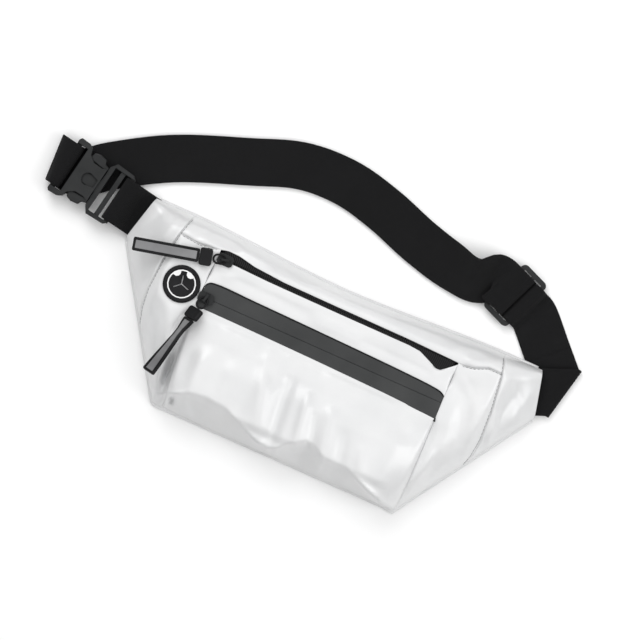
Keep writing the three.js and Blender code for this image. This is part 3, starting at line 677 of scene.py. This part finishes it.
def simulateSlack():
    rows, columns = round(2 * bag["endX"] / slack["spacing"]), round(150 / slack["spacing"])

    def place(i, j):
        y = bag["bottomY"] + (bag["topY"] - bag["bottomY"]) * j / (columns - 1)
        x = halfWidth(y) * (2 * i / (rows - 1) - 1)
        y = min(y, topLine(x)) if j == columns - 1 else y
        return (x, y, frontHeight(x, y))

    bm = shapedGrid(rows, columns, place)
    bm.verts.ensure_lookup_table()
    plan = [Vector((v.co.x, v.co.y, 0)) for v in bm.verts]
    before = [v.co.z for v in bm.verts]
    faces = [[v.index for v in f.verts] for f in bm.faces]
    links = [[v.index for v in e.verts] for e in bm.edges]
    held = [v.index for v in bm.verts if v.is_boundary or onZips(v.co.x, v.co.y) > 0.4]
    seamed = [v.index for v in bm.verts if abs(abs(v.co.x) - 143) < 3]
    bmesh.ops.scale(bm, vec=(mm, mm, mm), verts=bm.verts)
    mesh = bpy.data.meshes.new("slack front")
    bm.to_mesh(mesh)
    bm.free()
    sheet = bpy.data.objects.new("slack front", mesh)
    bpy.context.scene.collection.objects.link(sheet)
    group = sheet.vertex_groups.new(name="held")
    group.add(held, 1, "REPLACE")
    group.add(seamed, 1, "REPLACE")
    cloth = sheet.modifiers.new("cloth", "CLOTH")
    cloth.settings.vertex_group_mass = "held"
    cloth.settings.quality = 6
    cloth.settings.mass = 0.25
    cloth.settings.tension_stiffness = 25
    cloth.settings.compression_stiffness = 25
    cloth.settings.bending_stiffness = 0.6
    cloth.settings.air_damping = 4
    cloth.settings.use_pressure = True
    cloth.settings.uniform_pressure_force = slack["pressure"]
    cloth.settings.shrink_min = slack["shrink"]
    cloth.settings.effector_weights.gravity = 0
    cloth.point_cache.frame_end = slack["frames"]
    for k in range(1, slack["frames"] + 1):
        bpy.context.scene.frame_set(k)
    settled = sheet.evaluated_get(bpy.context.evaluated_depsgraph_get()).to_mesh()
    after = [v.co.z / mm for v in settled.vertices]
    bpy.context.scene.frame_set(1)
    bpy.data.objects.remove(sheet)
    lift = np.array([min(max(a - b, -slack["cap"]), slack["cap"]) for a, b in zip(after, before)])
    ends = np.array(links)
    for _ in range(slack["smoothing"]):
        total, count = lift.copy(), np.ones(len(lift))
        for one, other in ((0, 1), (1, 0)):
            np.add.at(total, ends[:, one], lift[ends[:, other]])
            np.add.at(count, ends[:, one], 1)
        lift = total / count
    print("slack in the cloth from", round(min(lift), 2), "to", round(max(lift), 2), "mm")
    tree = BVHTree.FromPolygons(plan, faces)

    def at(x, y):
        spot, _, face, _ = tree.find_nearest(Vector((x, y, 0)))
        shares = poly_3d_calc([plan[k] for k in faces[face]], spot)
        return sum(s * lift[k] for s, k in zip(shares, faces[face]))

    return at


slackOf = simulateSlack()
print("cloth simulation done")


# cloth panels of the front
tuck = dict(depth=1.4, width=0.75, soft=0.6, softWidth=3.0)
bend = dict(start=0.2, ends=0.15)  # share of a panel's length over which its start and its ends are bent
cover = dict(flatDip=0.72, skirtY=30, skirt=0.3, allowance=1.02)


def seamDip(d):
    return tuck["depth"] * bell(d, tuck["width"]) + tuck["soft"] * bell(d, tuck["softWidth"])


def coverPanel(name, low, high, nodes, outer="", top=None, ends=()):
    # A panel between its two long sides, turned in along them. outer names the sides on the bag's own edge,
    # which aren't turned in: l for low, h for high, s for the start and e for the end.
    # The start is bent to the line top, and both ends of the panel to the lines in ends.
    length = (lineLength(low) + lineLength(high)) / 2
    along = spread(length, panelStep)
    middle = np.linalg.norm(evenly(high, [0.5])[0] - evenly(low, [0.5])[0])
    across = spread(middle, panelStep)
    a, b = evenly(low, along), evenly(high, along)
    skirtZ = bag["rimZ"] - cover["skirt"]
    startWidth, endWidth = np.linalg.norm(b[0] - a[0]), np.linalg.norm(b[-1] - a[-1])

    def place(i, j):
        x, y = a[i] + (b[i] - a[i]) * across[j]
        if top:
            straight = a[0] + (b[0] - a[0]) * across[j]
            y += (lineHeight(top, straight[0]) - straight[1]) * (1 - smooth(along[i] / bend["start"]))
        for line, k, t in zip(ends, (0, -1), (along[i], 1 - along[i])):
            straight = a[k] + (b[k] - a[k]) * across[j]
            bent = np.interp(-straight[1], [-p[1] for p in line], [p[0] for p in line])
            x += (bent - straight[0]) * (1 - smooth(t / bend["ends"]))
        width = np.linalg.norm(b[i] - a[i])
        away = [9]
        if "l" not in outer:
            away.append(across[j] * width)
        if "h" not in outer:
            away.append((1 - across[j]) * width)
        if "s" not in outer and startWidth > 3:
            away.append(along[i] * length)
        if "e" not in outer and endWidth > 3:
            away.append((1 - along[i]) * length)
        dip = seamDip(min(away)) * (1 - cover["flatDip"] * onZips(x, y))
        outside = ("l" in outer and j == 0) or ("h" in outer and j == len(across) - 1)
        if (outside or ("e" in outer and i == len(along) - 1)) and y < cover["skirtY"]:
            return (x, y, skirtZ)
        return (x, y, max(frontHeight(x, y) - dip, skirtZ))

    bm = shapedGrid(len(along), len(across), place)
    bmesh.ops.remove_doubles(bm, verts=bm.verts, dist=0.02)
    faceUp(bm)
    area = areaOf(bm)
    piece = finishPiece(name, bm, fabric, "bag_fabric")
    thicken(piece, bag["skin"])
    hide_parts(*nodes)
    return piece


def upTo(points, x):  # the part of a line at or left of x
    inside = [p for p in points if p[0] < x]
    return [*inside, (x, lineHeight(points, x))]


def beyond(points, x):
    return [(x, lineHeight(points, x)), *[p for p in points if p[0] > x]]


def below(points, y):  # the part of a line that runs down, at or below y
    x = np.interp(-y, [-p[1] for p in points], [p[0] for p in points])
    return [(x, y), *[p for p in points if p[1] < y]]


stripLeft = upTo(seams["strip"], -103.5)
stripRight = beyond(seams["strip"], 103.5)
topEdge = [(x, topLine(x)) for x in np.linspace(-134, 135, 60)]
bandSide = dict(left=[(-103.5, 53), (-104.2, 40), (-104.4, 25), (-103.6, 11)],
                right=[(103.5, 52.4), (103.9, 40), (103.8, 25.4), (104.4, 6.6)])


def buildCover():
    coverPanel("top strip", seams["strip"], topEdge, ["top_strip"], outer="h")
    leftEdge = [*below(seams["leftWing"], 58.4), *slantLeft[2:], (-99, -75.6)]
    leftPocket = [stripLeft[-1], *bandSide["left"], *seams["pocketLeft"][1:]]
    coverPanel("left side panel", leftEdge, leftPocket, ["side_panel_left"], outer="e", top=seams["strip"])
    rightPocket = [stripRight[0], *bandSide["right"], *seams["pocketRight"][1:]]
    rightEdge = [*below(seams["rightWing"], 60), *slantRight[2:]]
    coverPanel("right side panel", rightPocket, rightEdge, ["side_panel_right"], outer="e",
        top=seams["strip"])
    leftCorner = [(-bag["topX"], bag["topY"]), *slantLeft[:2]]
    rightCorner = [(bag["topX"], bag["topY"]), *slantRight[:2]]
    coverPanel("left wing", leftCorner, seams["leftWing"], ["wing_left"], outer="lse")
    coverPanel("right wing", seams["rightWing"], rightCorner, ["wing_right"], outer="hse")
    coverPanel("pocket front", seams["bottom"], seams["bandLow"], ["pocket_front_panel"], outer="l",
               ends=(seams["pocketLeft"], seams["pocketRight"]))
    coverPanel("pocket top gusset", seams["bandTop"], seams["zipLow"], ["pocket_top_gusset"])


buildCover()
print("front panels ready")

# stitches
stitch = dict(length=2.7, gap=0.35, radius=0.24, rise=0.02)


def stitchLine(points, shift):  # threads along a line, shifted sideways from it
    total = lineLength(points)
    pitch = stitch["length"] + stitch["gap"]
    parts = []
    for k in range(1, int(total / pitch)):
        shares = [(k * pitch + d * stitch["length"]) / total for d in (0, 0.5, 1)]
        p = evenly(points, shares)
        direction = (p[2] - p[0]) / np.linalg.norm(p[2] - p[0])
        p = p + np.array([-direction[1], direction[0]]) * shift
        heights = [frontHeight(x, y) - seamDip(abs(shift)) + stitch["rise"] for x, y in p]
        ends = [(*q, h + rise) for q, h, rise in zip(p, heights, (-0.25, 0.2, -0.25))]
        parts.append(tube(ends, stitch["radius"], 5))
    return parts


def sewSeams():
    lines = [
        (below(seams["leftWing"], 75), 1.0), (below(seams["rightWing"], 75), -1.0),
        (stripLeft, -0.9), (stripRight, -0.9),
    ]
    parts = [part for line, shift in lines for part in stitchLine(line, shift)]
    finishPiece("seam stitches", joined(parts), thread, "bag_fabric")


sewSeams()

# edge binding, back, pad and lining
binding = dict(out=1.6, inside=3.4, low=0.7, high=2.9)


def roundedCorners(points, radius, steps=6):  # a closed outline with its corners rounded
    made = []
    count = len(points)
    for k in range(count):
        before, here, after = (Vector(points[(k + d) % count]) for d in (-1, 0, 1))
        a = here + (before - here).normalized() * radius
        b = here + (after - here).normalized() * radius
        for t in np.linspace(0, 1, steps):
            made.append(tuple(a * (1 - t) ** 2 + here * 2 * t * (1 - t) + b * t * t))
    return made


def bagOutline(inset=0):
    top = [(x, topLine(x) - inset) for x in np.linspace(150, -150, 31)]
    return [(-bag["topX"] + inset, bag["topY"] - inset), (-bag["endX"] + inset, bag["endY"] + inset / 2),
            (-bag["bottomX"] + inset * 0.6, bag["bottomY"] + inset),
            (bag["bottomX"] - inset * 0.6, bag["bottomY"] + inset), (bag["endX"] - inset,
            bag["endY"] + inset / 2),
            (bag["topX"] - inset, bag["topY"] - inset), *top]


def evenOutline(points, pitch):
    closed = [*points, points[0]]
    count = round(lineLength(closed) / pitch)
    return evenly(closed, np.arange(count) / count)


def bindEdge():
    path = evenOutline(roundedCorners(bagOutline(), 3), 2.6)
    count = len(path)
    profile = [(-binding["inside"], 2.5), (-1.2, binding["high"]), (0.6, binding["high"] - 0.1),
               (binding["out"] - 0.2, 2.3), (binding["out"], 1.7), (binding["out"] - 0.2, 1.1), (0.4,
               binding["low"]),
               (-1.4, binding["low"]), (-binding["inside"], 1.1)]

    def place(i, j):
        here, before, after = path[i % count], path[(i - 1) % count], path[(i + 1) % count]
        along = (after - before) / np.linalg.norm(after - before)
        out = np.array([-along[1], along[0]]) * -1
        d, z = profile[j % len(profile)]
        x, y = here + out * d
        return (x, y, z + 0.12 * math.sin(i * 0.9))

    bm = shapedGrid(count + 1, len(profile) + 1, place, wrap=True)
    bmesh.ops.recalc_face_normals(bm, faces=bm.faces)
    # the binding stops at the ends, where the webbing is sewn in
    gone = [v for v in bm.verts if abs(v.co.x) > 167 and v.co.y > 37]
    bmesh.ops.delete(bm, geom=gone, context="VERTS")
    closeEnds(bm)
    finishPiece("edge binding", bm, fabric, "bag_fabric")


tail = (foldFrame[0], 134)


def besideTail(x, y):  # distance from the middle of the belt's tail, which passes under the right corner
    return abs(inLine(*tail, x, y)[1])


def buildBack():
    rows, columns = 150, 66

    def onBack(thick):
        def place(i, j):
            v = j / (columns - 1)
            y = bag["bottomY"] + 0.6 + (bag["topY"] - bag["bottomY"] - 1.2) * v
            x = (halfWidth(y) - 0.8) * (2 * i / (rows - 1) - 1)
            y = min(y, topLine(x) - 0.8)
            z = 0.25 + 0.35 * (1 - smooth(min(fromSlant(x, y), topLine(x) - y, y - bag["bottomY"]) / 8))
            bridge = smooth((22.4 - besideTail(x, y)) / 2.4) if x > 90 else 0
            return (x, y, max(z, thick * bridge))
        return place

    bm = shapedGrid(rows, columns, onBack(2.0))
    area = areaOf(bm)
    back = finishPiece("back panel", bm, backCloth, "lining")
    thicken(back, 1.1, 1)
    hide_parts("back_panel")

    bm = shapedGrid(rows, columns, lambda i, j: padPoint(i / (rows - 1), j / (columns - 1), 5.0))
    under = shapedGrid(rows, columns, lambda i, j: padPoint(i / (rows - 1), j / (columns - 1), 1.9))
    bmesh.ops.reverse_faces(under, faces=under.faces)
    pad = joined([bm, under])
    bmesh.ops.remove_doubles(pad, verts=pad.verts, dist=0.01)
    bmesh.ops.recalc_face_normals(pad, faces=pad.faces)
    piece = finishPiece("back pad", pad, lining, "foam")
    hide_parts("back_pad")


def padPoint(u, v, z):
    y = bag["bottomY"] + 14 + (bag["topY"] - bag["bottomY"] - 30) * v
    half = halfWidth(y) - 26
    rim = min(u, 1 - u) * 2 * half
    rim = min(rim, v * 121, (1 - v) * 121)
    return (half * (2 * u - 1), y, 3.4 + (z - 3.4) * over(rim, 4) if rim > 0 else 3.4)


def buildLining():
    rows, columns = 90, 40
    wall = [(43, 37), (30, 27), (-20, 22), (-57, 14), (-70, 10)]

    def place(i, j):
        y, z = evenly(wall, [j / (columns - 1)])[0]
        x = -103 + 206 * i / (rows - 1)
        rise = 12 * (1 - smooth(min(i, rows - 1 - i) / 5)) * smooth((y + 66) / 30)
        return (x, y, min(z + rise + 0.5 * math.sin(x / 17) * math.sin(y / 13), 37.0))

    bm = shapedGrid(rows, columns, place)
    area = areaOf(bm)
    piece = finishPiece("pocket lining", bm, lining, "lining")
    thicken(piece, 0.8)
    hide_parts("body_front_panel", "pocket_gusset_left", "pocket_gusset_right")


bindEdge()
buildBack()
buildLining()
print("back, pad and lining ready")

# zips
zips = dict(
    main=dict(y=53, left=-101, right=101, slit=0.15, high=seams["strip"], low=seams["zipLow"], top=38.2,
              under=8, tuck=1.9, material=wovenTapeFinish),
    pocket=dict(y=19.5, left=-106, right=106, slit=0.03, high=seams["bandTop"], low=seams["bandLow"],
                top=38.6,
                under=2.6, tuck=0.9, material=coatedTapeFinish),
)


def buildTapes():
    for name, z in zips.items():
        for word, line, side in (("upper", z["high"], 1), ("lower", z["low"], -1)):
            rows = round((z["right"] - z["left"]) / 2.2)
            shares = [0, 0.03, 0.1, 0.2, 0.32, 0.44, 0.56, 0.68, 0.8, 0.9, 1]

            def place(i, j, z=z, line=line, side=side, rows=rows):
                x = z["left"] + (z["right"] - z["left"]) * i / (rows - 1)
                near = z["y"] + side * z["slit"]
                edge = lineHeight(line, x) + side * z["under"]
                y = near + (edge - near) * shares[j]
                off = abs(y - z["y"])
                crease = (0.3 if name == "main" else 0.08) * bell(off - z["slit"], 0.5)
                wave = 0.08 * math.sin(x / 9 + side) + 0.05 * math.sin(x / 4.1)
                top = min(z["top"], frontHeight(x, y) - 0.4 - z["tuck"] * smooth(shares[j] / 0.45))
                return (x, y, top - crease + wave)

            bm = shapedGrid(rows, len(shares), place)
            faceUp(bm)
            area = areaOf(bm)
            tape = finishPiece(f"{name} zip tape {word}", bm, z["material"], "zip_tape")
            thicken(tape, 0.6)
            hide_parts(f"{name}_zip_tape_{word}")


def bandPiping():  # the turned black edge along the band's upper side and round its left end
    path = [(x, y - 0.35, 39.0) for x, y in [(-103.4, 11.4), (-104, 18), *seams["bandTop"]]]
    finishPiece("pocket band edge", tube(path, 0.6, 8), rubber, "zip_tape")


def dressZips():
    for name in zips:
        for node in ("zip_coil_upper", "zip_coil_lower", "zip_end_stop"):
            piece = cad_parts[f"{name}_{node}"]
            piece.data.materials.clear()
            piece.data.materials.append(coilPlastic)


buildTapes()
bandPiping()
dressZips()
print("zips ready")

# rigid parts carried over from the frame, with their edges rounded
rigid = [  # node, finish, slot, body, edge radius
    ("main_slider", plastic, "buckle_plastic", "main_slider", 0.35),
    ("pocket_slider", plastic, "buckle_plastic", "pocket_slider", 0.35),
    ("main_pull_cap", rubber, "pull_rubber", "main_pull", 0.9),
    ("pocket_pull_cap", rubber, "pull_rubber", "pocket_pull", 0.9),
    ("main_pull_tab", rubber, "pull_rubber", "main_pull", 0.35),
    ("pocket_pull_tab", rubber, "pull_rubber", "pocket_pull", 0.35),
    ("main_pull_stripe", stripeFinish, "reflective_stripe", "main_pull", 0.15),
    ("pocket_pull_stripe", stripeFinish, "reflective_stripe", "pocket_pull", 0.15),
    ("port_face", rubber, "port_rubber", "bag", 0.2),
    ("port_symbol", printFinish, "port_print", "bag", 0.08),
    ("port_washer", plastic, "buckle_plastic", "bag", 0.2),
    ("triglide", plastic, "buckle_plastic", "bag", 0.8),
    ("buckle_male", plastic, "buckle_plastic", "bag", 0.8),
    ("buckle_female", plastic, "buckle_plastic", "buckle_socket", 0.7),
    ("prong_upper", plastic, "buckle_plastic", "prong_upper", 0.8),
    ("prong_lower", plastic, "buckle_plastic", "prong_lower", 0.8),
]


twist = dict(turn=[(-0.2, 10), (0.08, 14), (0.28, 38), (0.55, 22), (1, -12)],
             lift=[(-0.2, 0.3), (0.08, 0.5), (0.28, 1.8), (0.6, 1.2), (1, 0)], cuts=12)


def twistPull(bm):  # the pocket's pull hangs half on edge from its slider
    ends = []
    for part in ("cap", "tab"):
        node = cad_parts[f"pocket_pull_{part}"]
        ends.append(np.mean([node.matrix_world @ v.co for v in node.data.vertices], axis=0) / mm)
    along = (ends[1] - ends[0]) / np.linalg.norm(ends[1] - ends[0])
    across = np.cross((0, 0, 1), along)
    across *= math.copysign(1, across[0]) / np.linalg.norm(across)
    up = np.cross(along, across) * math.copysign(1, np.cross(along, across)[2])
    reach = 2 * np.linalg.norm(ends[1] - ends[0])
    for k in range(1, twist["cuts"]):
        cut = ends[0] + along * reach * k / twist["cuts"]
        everything = [*bm.verts, *bm.edges, *bm.faces]
        bmesh.ops.bisect_plane(bm, geom=everything, dist=1e-4, plane_co=cut, plane_no=along)
    for v in bm.verts:
        off = np.array(v.co) - ends[0]
        s, a, h = off @ along, off @ across, off @ up
        turn = math.radians(lineHeight(twist["turn"], s / reach))
        out = a * math.cos(turn) - h * math.sin(turn)
        rise = a * math.sin(turn) + h * math.cos(turn) + lineHeight(twist["lift"], s / reach)
        v.co = ends[0] + along * s + across * out + up * rise


def carryOver():
    for node, material, slotName, body, radius in rigid:
        bm = mergedCopy(node)
        if body == "pocket_pull":
            twistPull(bm)
        piece = finishPiece(node.replace("_", " "), bm, material, slotName, body, shade=False)
        roundEdges(piece, radius)
        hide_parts(node)


carryOver()
print("rigid parts ready")

# cord loops of the pulls
cordLoop = dict(radius=0.85, clear=2.6)


def bendCords():
    for name in ("main", "pocket"):
        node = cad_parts[f"{name}_pull_cord"]
        points = np.array([node.matrix_world @ v.co for v in node.data.vertices]) / mm
        centre = points.mean(axis=0)
        _, _, axes = np.linalg.svd(points - centre, full_matrices=False)
        along, across = axes[0], axes[1]
        far = np.abs((points - centre) @ along).max() - cordLoop["radius"]
        wide = np.abs((points - centre) @ across).max() - cordLoop["radius"]
        path = []
        for k in range(48):
            turn = 2 * math.pi * k / 48
            c, s = math.cos(turn), math.sin(turn)
            run = math.copysign(max(far - wide, 0), c) + wide * c
            path.append(tuple(centre + along * run + across * wide * s))
        piece = finishPiece(f"{name} pull cord", tube(path, cordLoop["radius"], 10, closed=True), rubber,
                            "pull_rubber", f"{name}_pull")
        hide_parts(f"{name}_pull_cord")


bendCords()

# port
port = dict(profile=[(11.6, 0.1), (11.6, 1.7), (12.1, 2.0), (13.2, 2.1), (14.2, 1.8), (14.8, 1.1),
                     (15.0, 0.3),
                     (14.6, 0.0), (12.2, 0.0)])


def turnPortRing():
    bm = bmesh.new()
    at = Vector(((portLow[0] + portHigh[0]) / 2, (portLow[1] + portHigh[1]) / 2, portLow[2]))
    verts = [bm.verts.new(at + Vector((r, 0, z))) for r, z in port["profile"]]
    edges = [bm.edges.new((a, b)) for a, b in zip(verts, verts[1:] + verts[:1])]
    bmesh.ops.spin(bm, geom=[*verts, *edges], cent=at, axis=(0, 0, 1), angle=2 * math.pi, steps=72,
                   use_merge=True,
                   dvec=(0, 0, 0))
    bmesh.ops.remove_doubles(bm, verts=bm.verts, dist=1e-3)
    bmesh.ops.recalc_face_normals(bm, faces=bm.faces)
    ringPiece = finishPiece("port ring", bm, rubber, "port_rubber")
    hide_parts("port_ring")


turnPortRing()
print("port and pulls ready")

# webbing
belt = dict(width=38, thickness=1.5, low=0.75, high=2.55, tabZ=5.2)
section = [  # across and up, once round the webbing
    *[(w, 0.5) for w in np.linspace(-18.4, 18.4, 15)], (18.9, 0.3), (19, 0), (18.9, -0.3),
    *[(w, -0.5) for w in np.linspace(18.4, -18.4, 15)], (-18.9, -0.3), (-19, 0), (-18.9, 0.3),
]
route = [(-248, 69), (-212, 85), (-170, 110), (-112, 133), (-72, 147), (-35, 149), (0, 142), (40, 129),
         (72, 122),
         (94, 122.5)]
ripples = [  # place, height, reach along the belt: both layers lift together
    ((-150, 118), 1.6, 14), ((-98, 138), 0.9, 9), ((-28, 148), 2.2, 13), ((22, 136), 1.2, 10), ((58,
    124), 2.0, 12),
    ((84, 121), 1.4, 9), ((150, 106), 1.6, 10),
]

loopSlant = 0.21  # how far the loop beyond the buckle leans, for each mm across
rolls = [((88, 119), 8, 15, 27)]  # place, heading and reach where both layers roll, and the turn in degrees


def rippleAt(x, y):
    return sum(height * bell(math.hypot(x - px, y - py), reach) for (px, py), height, reach in ripples)


def slanted(x, y):  # the loop beyond the buckle isn't square to it
    out, aside = inLine(*buckleFrame, x, y)
    if out < 26 or abs(aside) > 24:
        return x, y
    more = -loopSlant * aside * smooth((out - 26) / 9)
    turn = math.radians(buckleFrame[1])
    return x + more * math.cos(turn), y + more * math.sin(turn)


def rolled(x, y, z):  # the point after the rolls, turned about a line on the webbing's lower edge
    for (px, py), heading, reach, turn in rolls:
        c, s = math.cos(math.radians(heading)), math.sin(math.radians(heading))
        along, aside = inLine((px, py), heading, x, y)
        angle = math.radians(turn) * bell(along, reach) if abs(aside) < 30 else 0
        out = aside + belt["width"] / 2
        moved = out * math.cos(angle) - (z - belt["thickness"]) * math.sin(angle) - belt["width"] / 2
        z = z * math.cos(angle) + out * math.sin(angle)
        x, y = px + along * c - moved * s, py + along * s + moved * c
    return x, y, z


def levelFrames(path):  # at each point the direction, and the level line across the webbing
    made = []
    across = None
    for k in range(len(path)):
        along = path[min(k + 1, len(path) - 1)] - path[max(k - 1, 0)]
        along = along / max(np.linalg.norm(along), 1e-9)
        level = np.array([-along[1], along[0], 0])
        size = np.linalg.norm(level)
        if across is None:
            across = level / size
        elif size > 0.3:
            across = level / size * (1 if level @ across > 0 else -1)
        made.append((along, across))
    return made


def pathStations(path):
    frames = levelFrames(path)
    return [(p, level, np.cross(along, level)) for p, (along, level) in zip(path, frames)]


def ringsAlong(points):  # the webbing's section along a curve through the points, about 1.5 mm apart
    fine = throughPoints(points, 10)
    path = evenly(fine, np.linspace(0, 1, max(2, round(lineLength(fine) / 1.5) + 1)))
    thick = belt["thickness"]
    return [[m + level * w + up * (t * thick) for w, t in section] for m, level, up in pathStations(path)]


def inFrame(place, turn, points):  # points of a part's own frame: along it, up and, where given, aside
    c, s = math.cos(math.radians(turn)), math.sin(math.radians(turn))
    return [(place[0] + p[0] * c - sum(p[2:]) * s, place[1] + p[0] * s + sum(p[2:]) * c,
        p[1]) for p in points]


adjusterFrame = ((124, 121.5), -22)
fold = dict(place=foldFrame[0], crease=78, heading=foldFrame[1], start=-30, end=40)


def foldStations():  # the tab leaves the bag on top, turns over the slanted crease and goes back underneath
    radius = (belt["tabZ"] - belt["low"]) / 2
    crease = math.radians(fold["crease"])
    lean = math.radians(fold["crease"] - fold["heading"])
    t = np.array([math.cos(crease), math.sin(crease)])
    n = np.array([math.sin(crease), -math.cos(crease)])  # out of the bag, square to the crease
    heading = math.radians(fold["heading"])
    d = np.array([math.cos(heading), math.sin(heading)])
    w = np.array([-d[1], d[0]])
    made = []
    for run in np.arange(fold["start"], fold["end"] + 0.01, 1.6):
        ring = []
        for across, up in section:
            flat = d * run + w * across
            s, along = flat @ n, flat @ t
            turn = min(max(s / radius, 0), math.pi)
            reach = radius + up * belt["thickness"]
            height = belt["low"] + radius + reach * math.cos(turn)
            if turn <= 0:
                out = s
            elif turn < math.pi:
                out = reach * math.sin(turn)
            else:
                out = -(s - math.pi * radius)
            along -= math.pi * radius / math.tan(lean) * turn / math.pi
            p = np.array(fold["place"]) + n * out + t * along
            ring.append((p[0], p[1], height))
        made.append(ring)
    return made


def weaveBelt():
    rings = foldStations()
    lean = math.radians(fold["crease"] - fold["heading"])
    lost = math.pi * (belt["tabZ"] - belt["low"]) / 2 / math.sin(lean)
    tailTurn = math.radians(2 * fold["crease"] - fold["heading"])
    on = fold["end"] - lost
    (px, py), c, s = fold["place"], math.cos(tailTurn), math.sin(tailTurn)
    afterFold = [(px + run * c, py + run * s, belt["low"]) for run in (on, on + 7)]
    ramp = [(21.5, 0.75), (18, 1.7), (15.6, 4.6), (13.6, 8), (11, 8.7)]
    dip = [(8.4, 8.4), (6.7, 6.2), (5, 3.6), (2.8, 1.5)]
    under = [*ramp, *dip, (0, 1.05), *[(-u, z) for u, z in [*dip[::-1], *ramp[:0:-1]]], (-21, 0.9, -2.4)]
    lower = [(x, y, belt["low"]) for x, y in route[::-1][:-1]]
    loop = inFrame(*buckleFrame, [
        (13, 0.75), (22, 0.75), (29, 1.15), (34, 4), (35, 7.5), (32, 11.5), (27, 13.35), (23, 13.35),
        (19.6, 10.95),
        (19.2, 9), (20.6, 7.05), (24, 6.45), (27.4, 6.15), (29, 4.3), (27, 2.8), (22, 2.55), (13, 2.55)])
    upper = [(x, y, belt["high"]) for x, y in route[1:]]
    bar = inFrame(*adjusterFrame, [
        (-24, 2.8, -2.6), (-21.4, 3.6, -0.8), (-18.6, 6.4), (-15.4, 9.9), (-11.4, 10.65), (-8, 10.3),
        (-4, 9.1),
        (0, 8.6), (2.3, 8), (3, 5.7), (2.1, 3.4), (0, 2.85), (-2.2, 3.05)])
    points = [*afterFold, *inFrame(*adjusterFrame, under), *lower, *loop, *upper, *bar]
    rest = ringsAlong(points)[1:]
    turns = len(section)
    # where the webbing has turned over, the sections start at the other edge
    if np.linalg.norm(rest[0][0] - np.array(rings[-1][0])) > belt["width"] / 2:
        rings = [[ring[(turns + 14 - k) % turns] for k in range(turns)] for ring in rings]
    return [*rings, *rest]


def webbingFromRings(rings):
    turns = len(section)
    centres = [np.mean(np.array(ring), axis=0) for ring in rings]
    steps = [np.linalg.norm(b - a) for a, b in zip(centres, centres[1:])]
    runs = np.concatenate([[0], np.cumsum(steps)])

    def place(i, j):
        x, y, z = rings[i][j % turns]
        w = section[j % turns][0]
        x, y = slanted(x, y)
        return rolled(x, y, max(z + rippleAt(x, y) * (1 - 0.35 * (w / 19) ** 2), 0.05))

    rows = len(rings)
    bm = shapedGrid(rows, turns + 1, place)
    uv = bm.loops.layers.uv.active
    for face in bm.faces:
        for loop in face.loops:
            i, j = round(loop[uv].uv.x * (rows - 1)), round(loop[uv].uv.y * turns)
            loop[uv].uv = (section[j % turns][0] / belt["width"] + 0.5, runs[i] / belt["width"])
    bmesh.ops.remove_doubles(bm, verts=bm.verts, dist=1e-4)
    closeEnds(bm)
    bmesh.ops.recalc_face_normals(bm, faces=bm.faces)
    return bm, float(runs[-1])


def makeBelt():
    bm, length = webbingFromRings(weaveBelt())
    piece = finishPiece("belt", bm, webbing, "webbing", body=None)  # it runs between two bodies, so it is attached to neither
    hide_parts("belt_outer_run", "belt_return_run", "belt_buckle_loop", "right_tab")
    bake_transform(piece)
    print("belt of", round(length), "mm")
    overBar = [
        (-55, 5.2), (-49, 5.2), (-43, 5.5), (-38.5, 8.6), (-33, 11.75), (-27, 11.95), (-23.8, 11.25),
        (-22.9, 9.1),
        (-23.8, 6.95), (-27, 6.25), (-33, 6.05), (-39, 5.85),
    ]
    bm, length = webbingFromRings(ringsAlong(inFrame(*buckleFrame, overBar)))
    tab = finishPiece("left webbing tab", bm, webbing, "webbing")
    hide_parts("left_tab")


makeBelt()
print("belt ready")
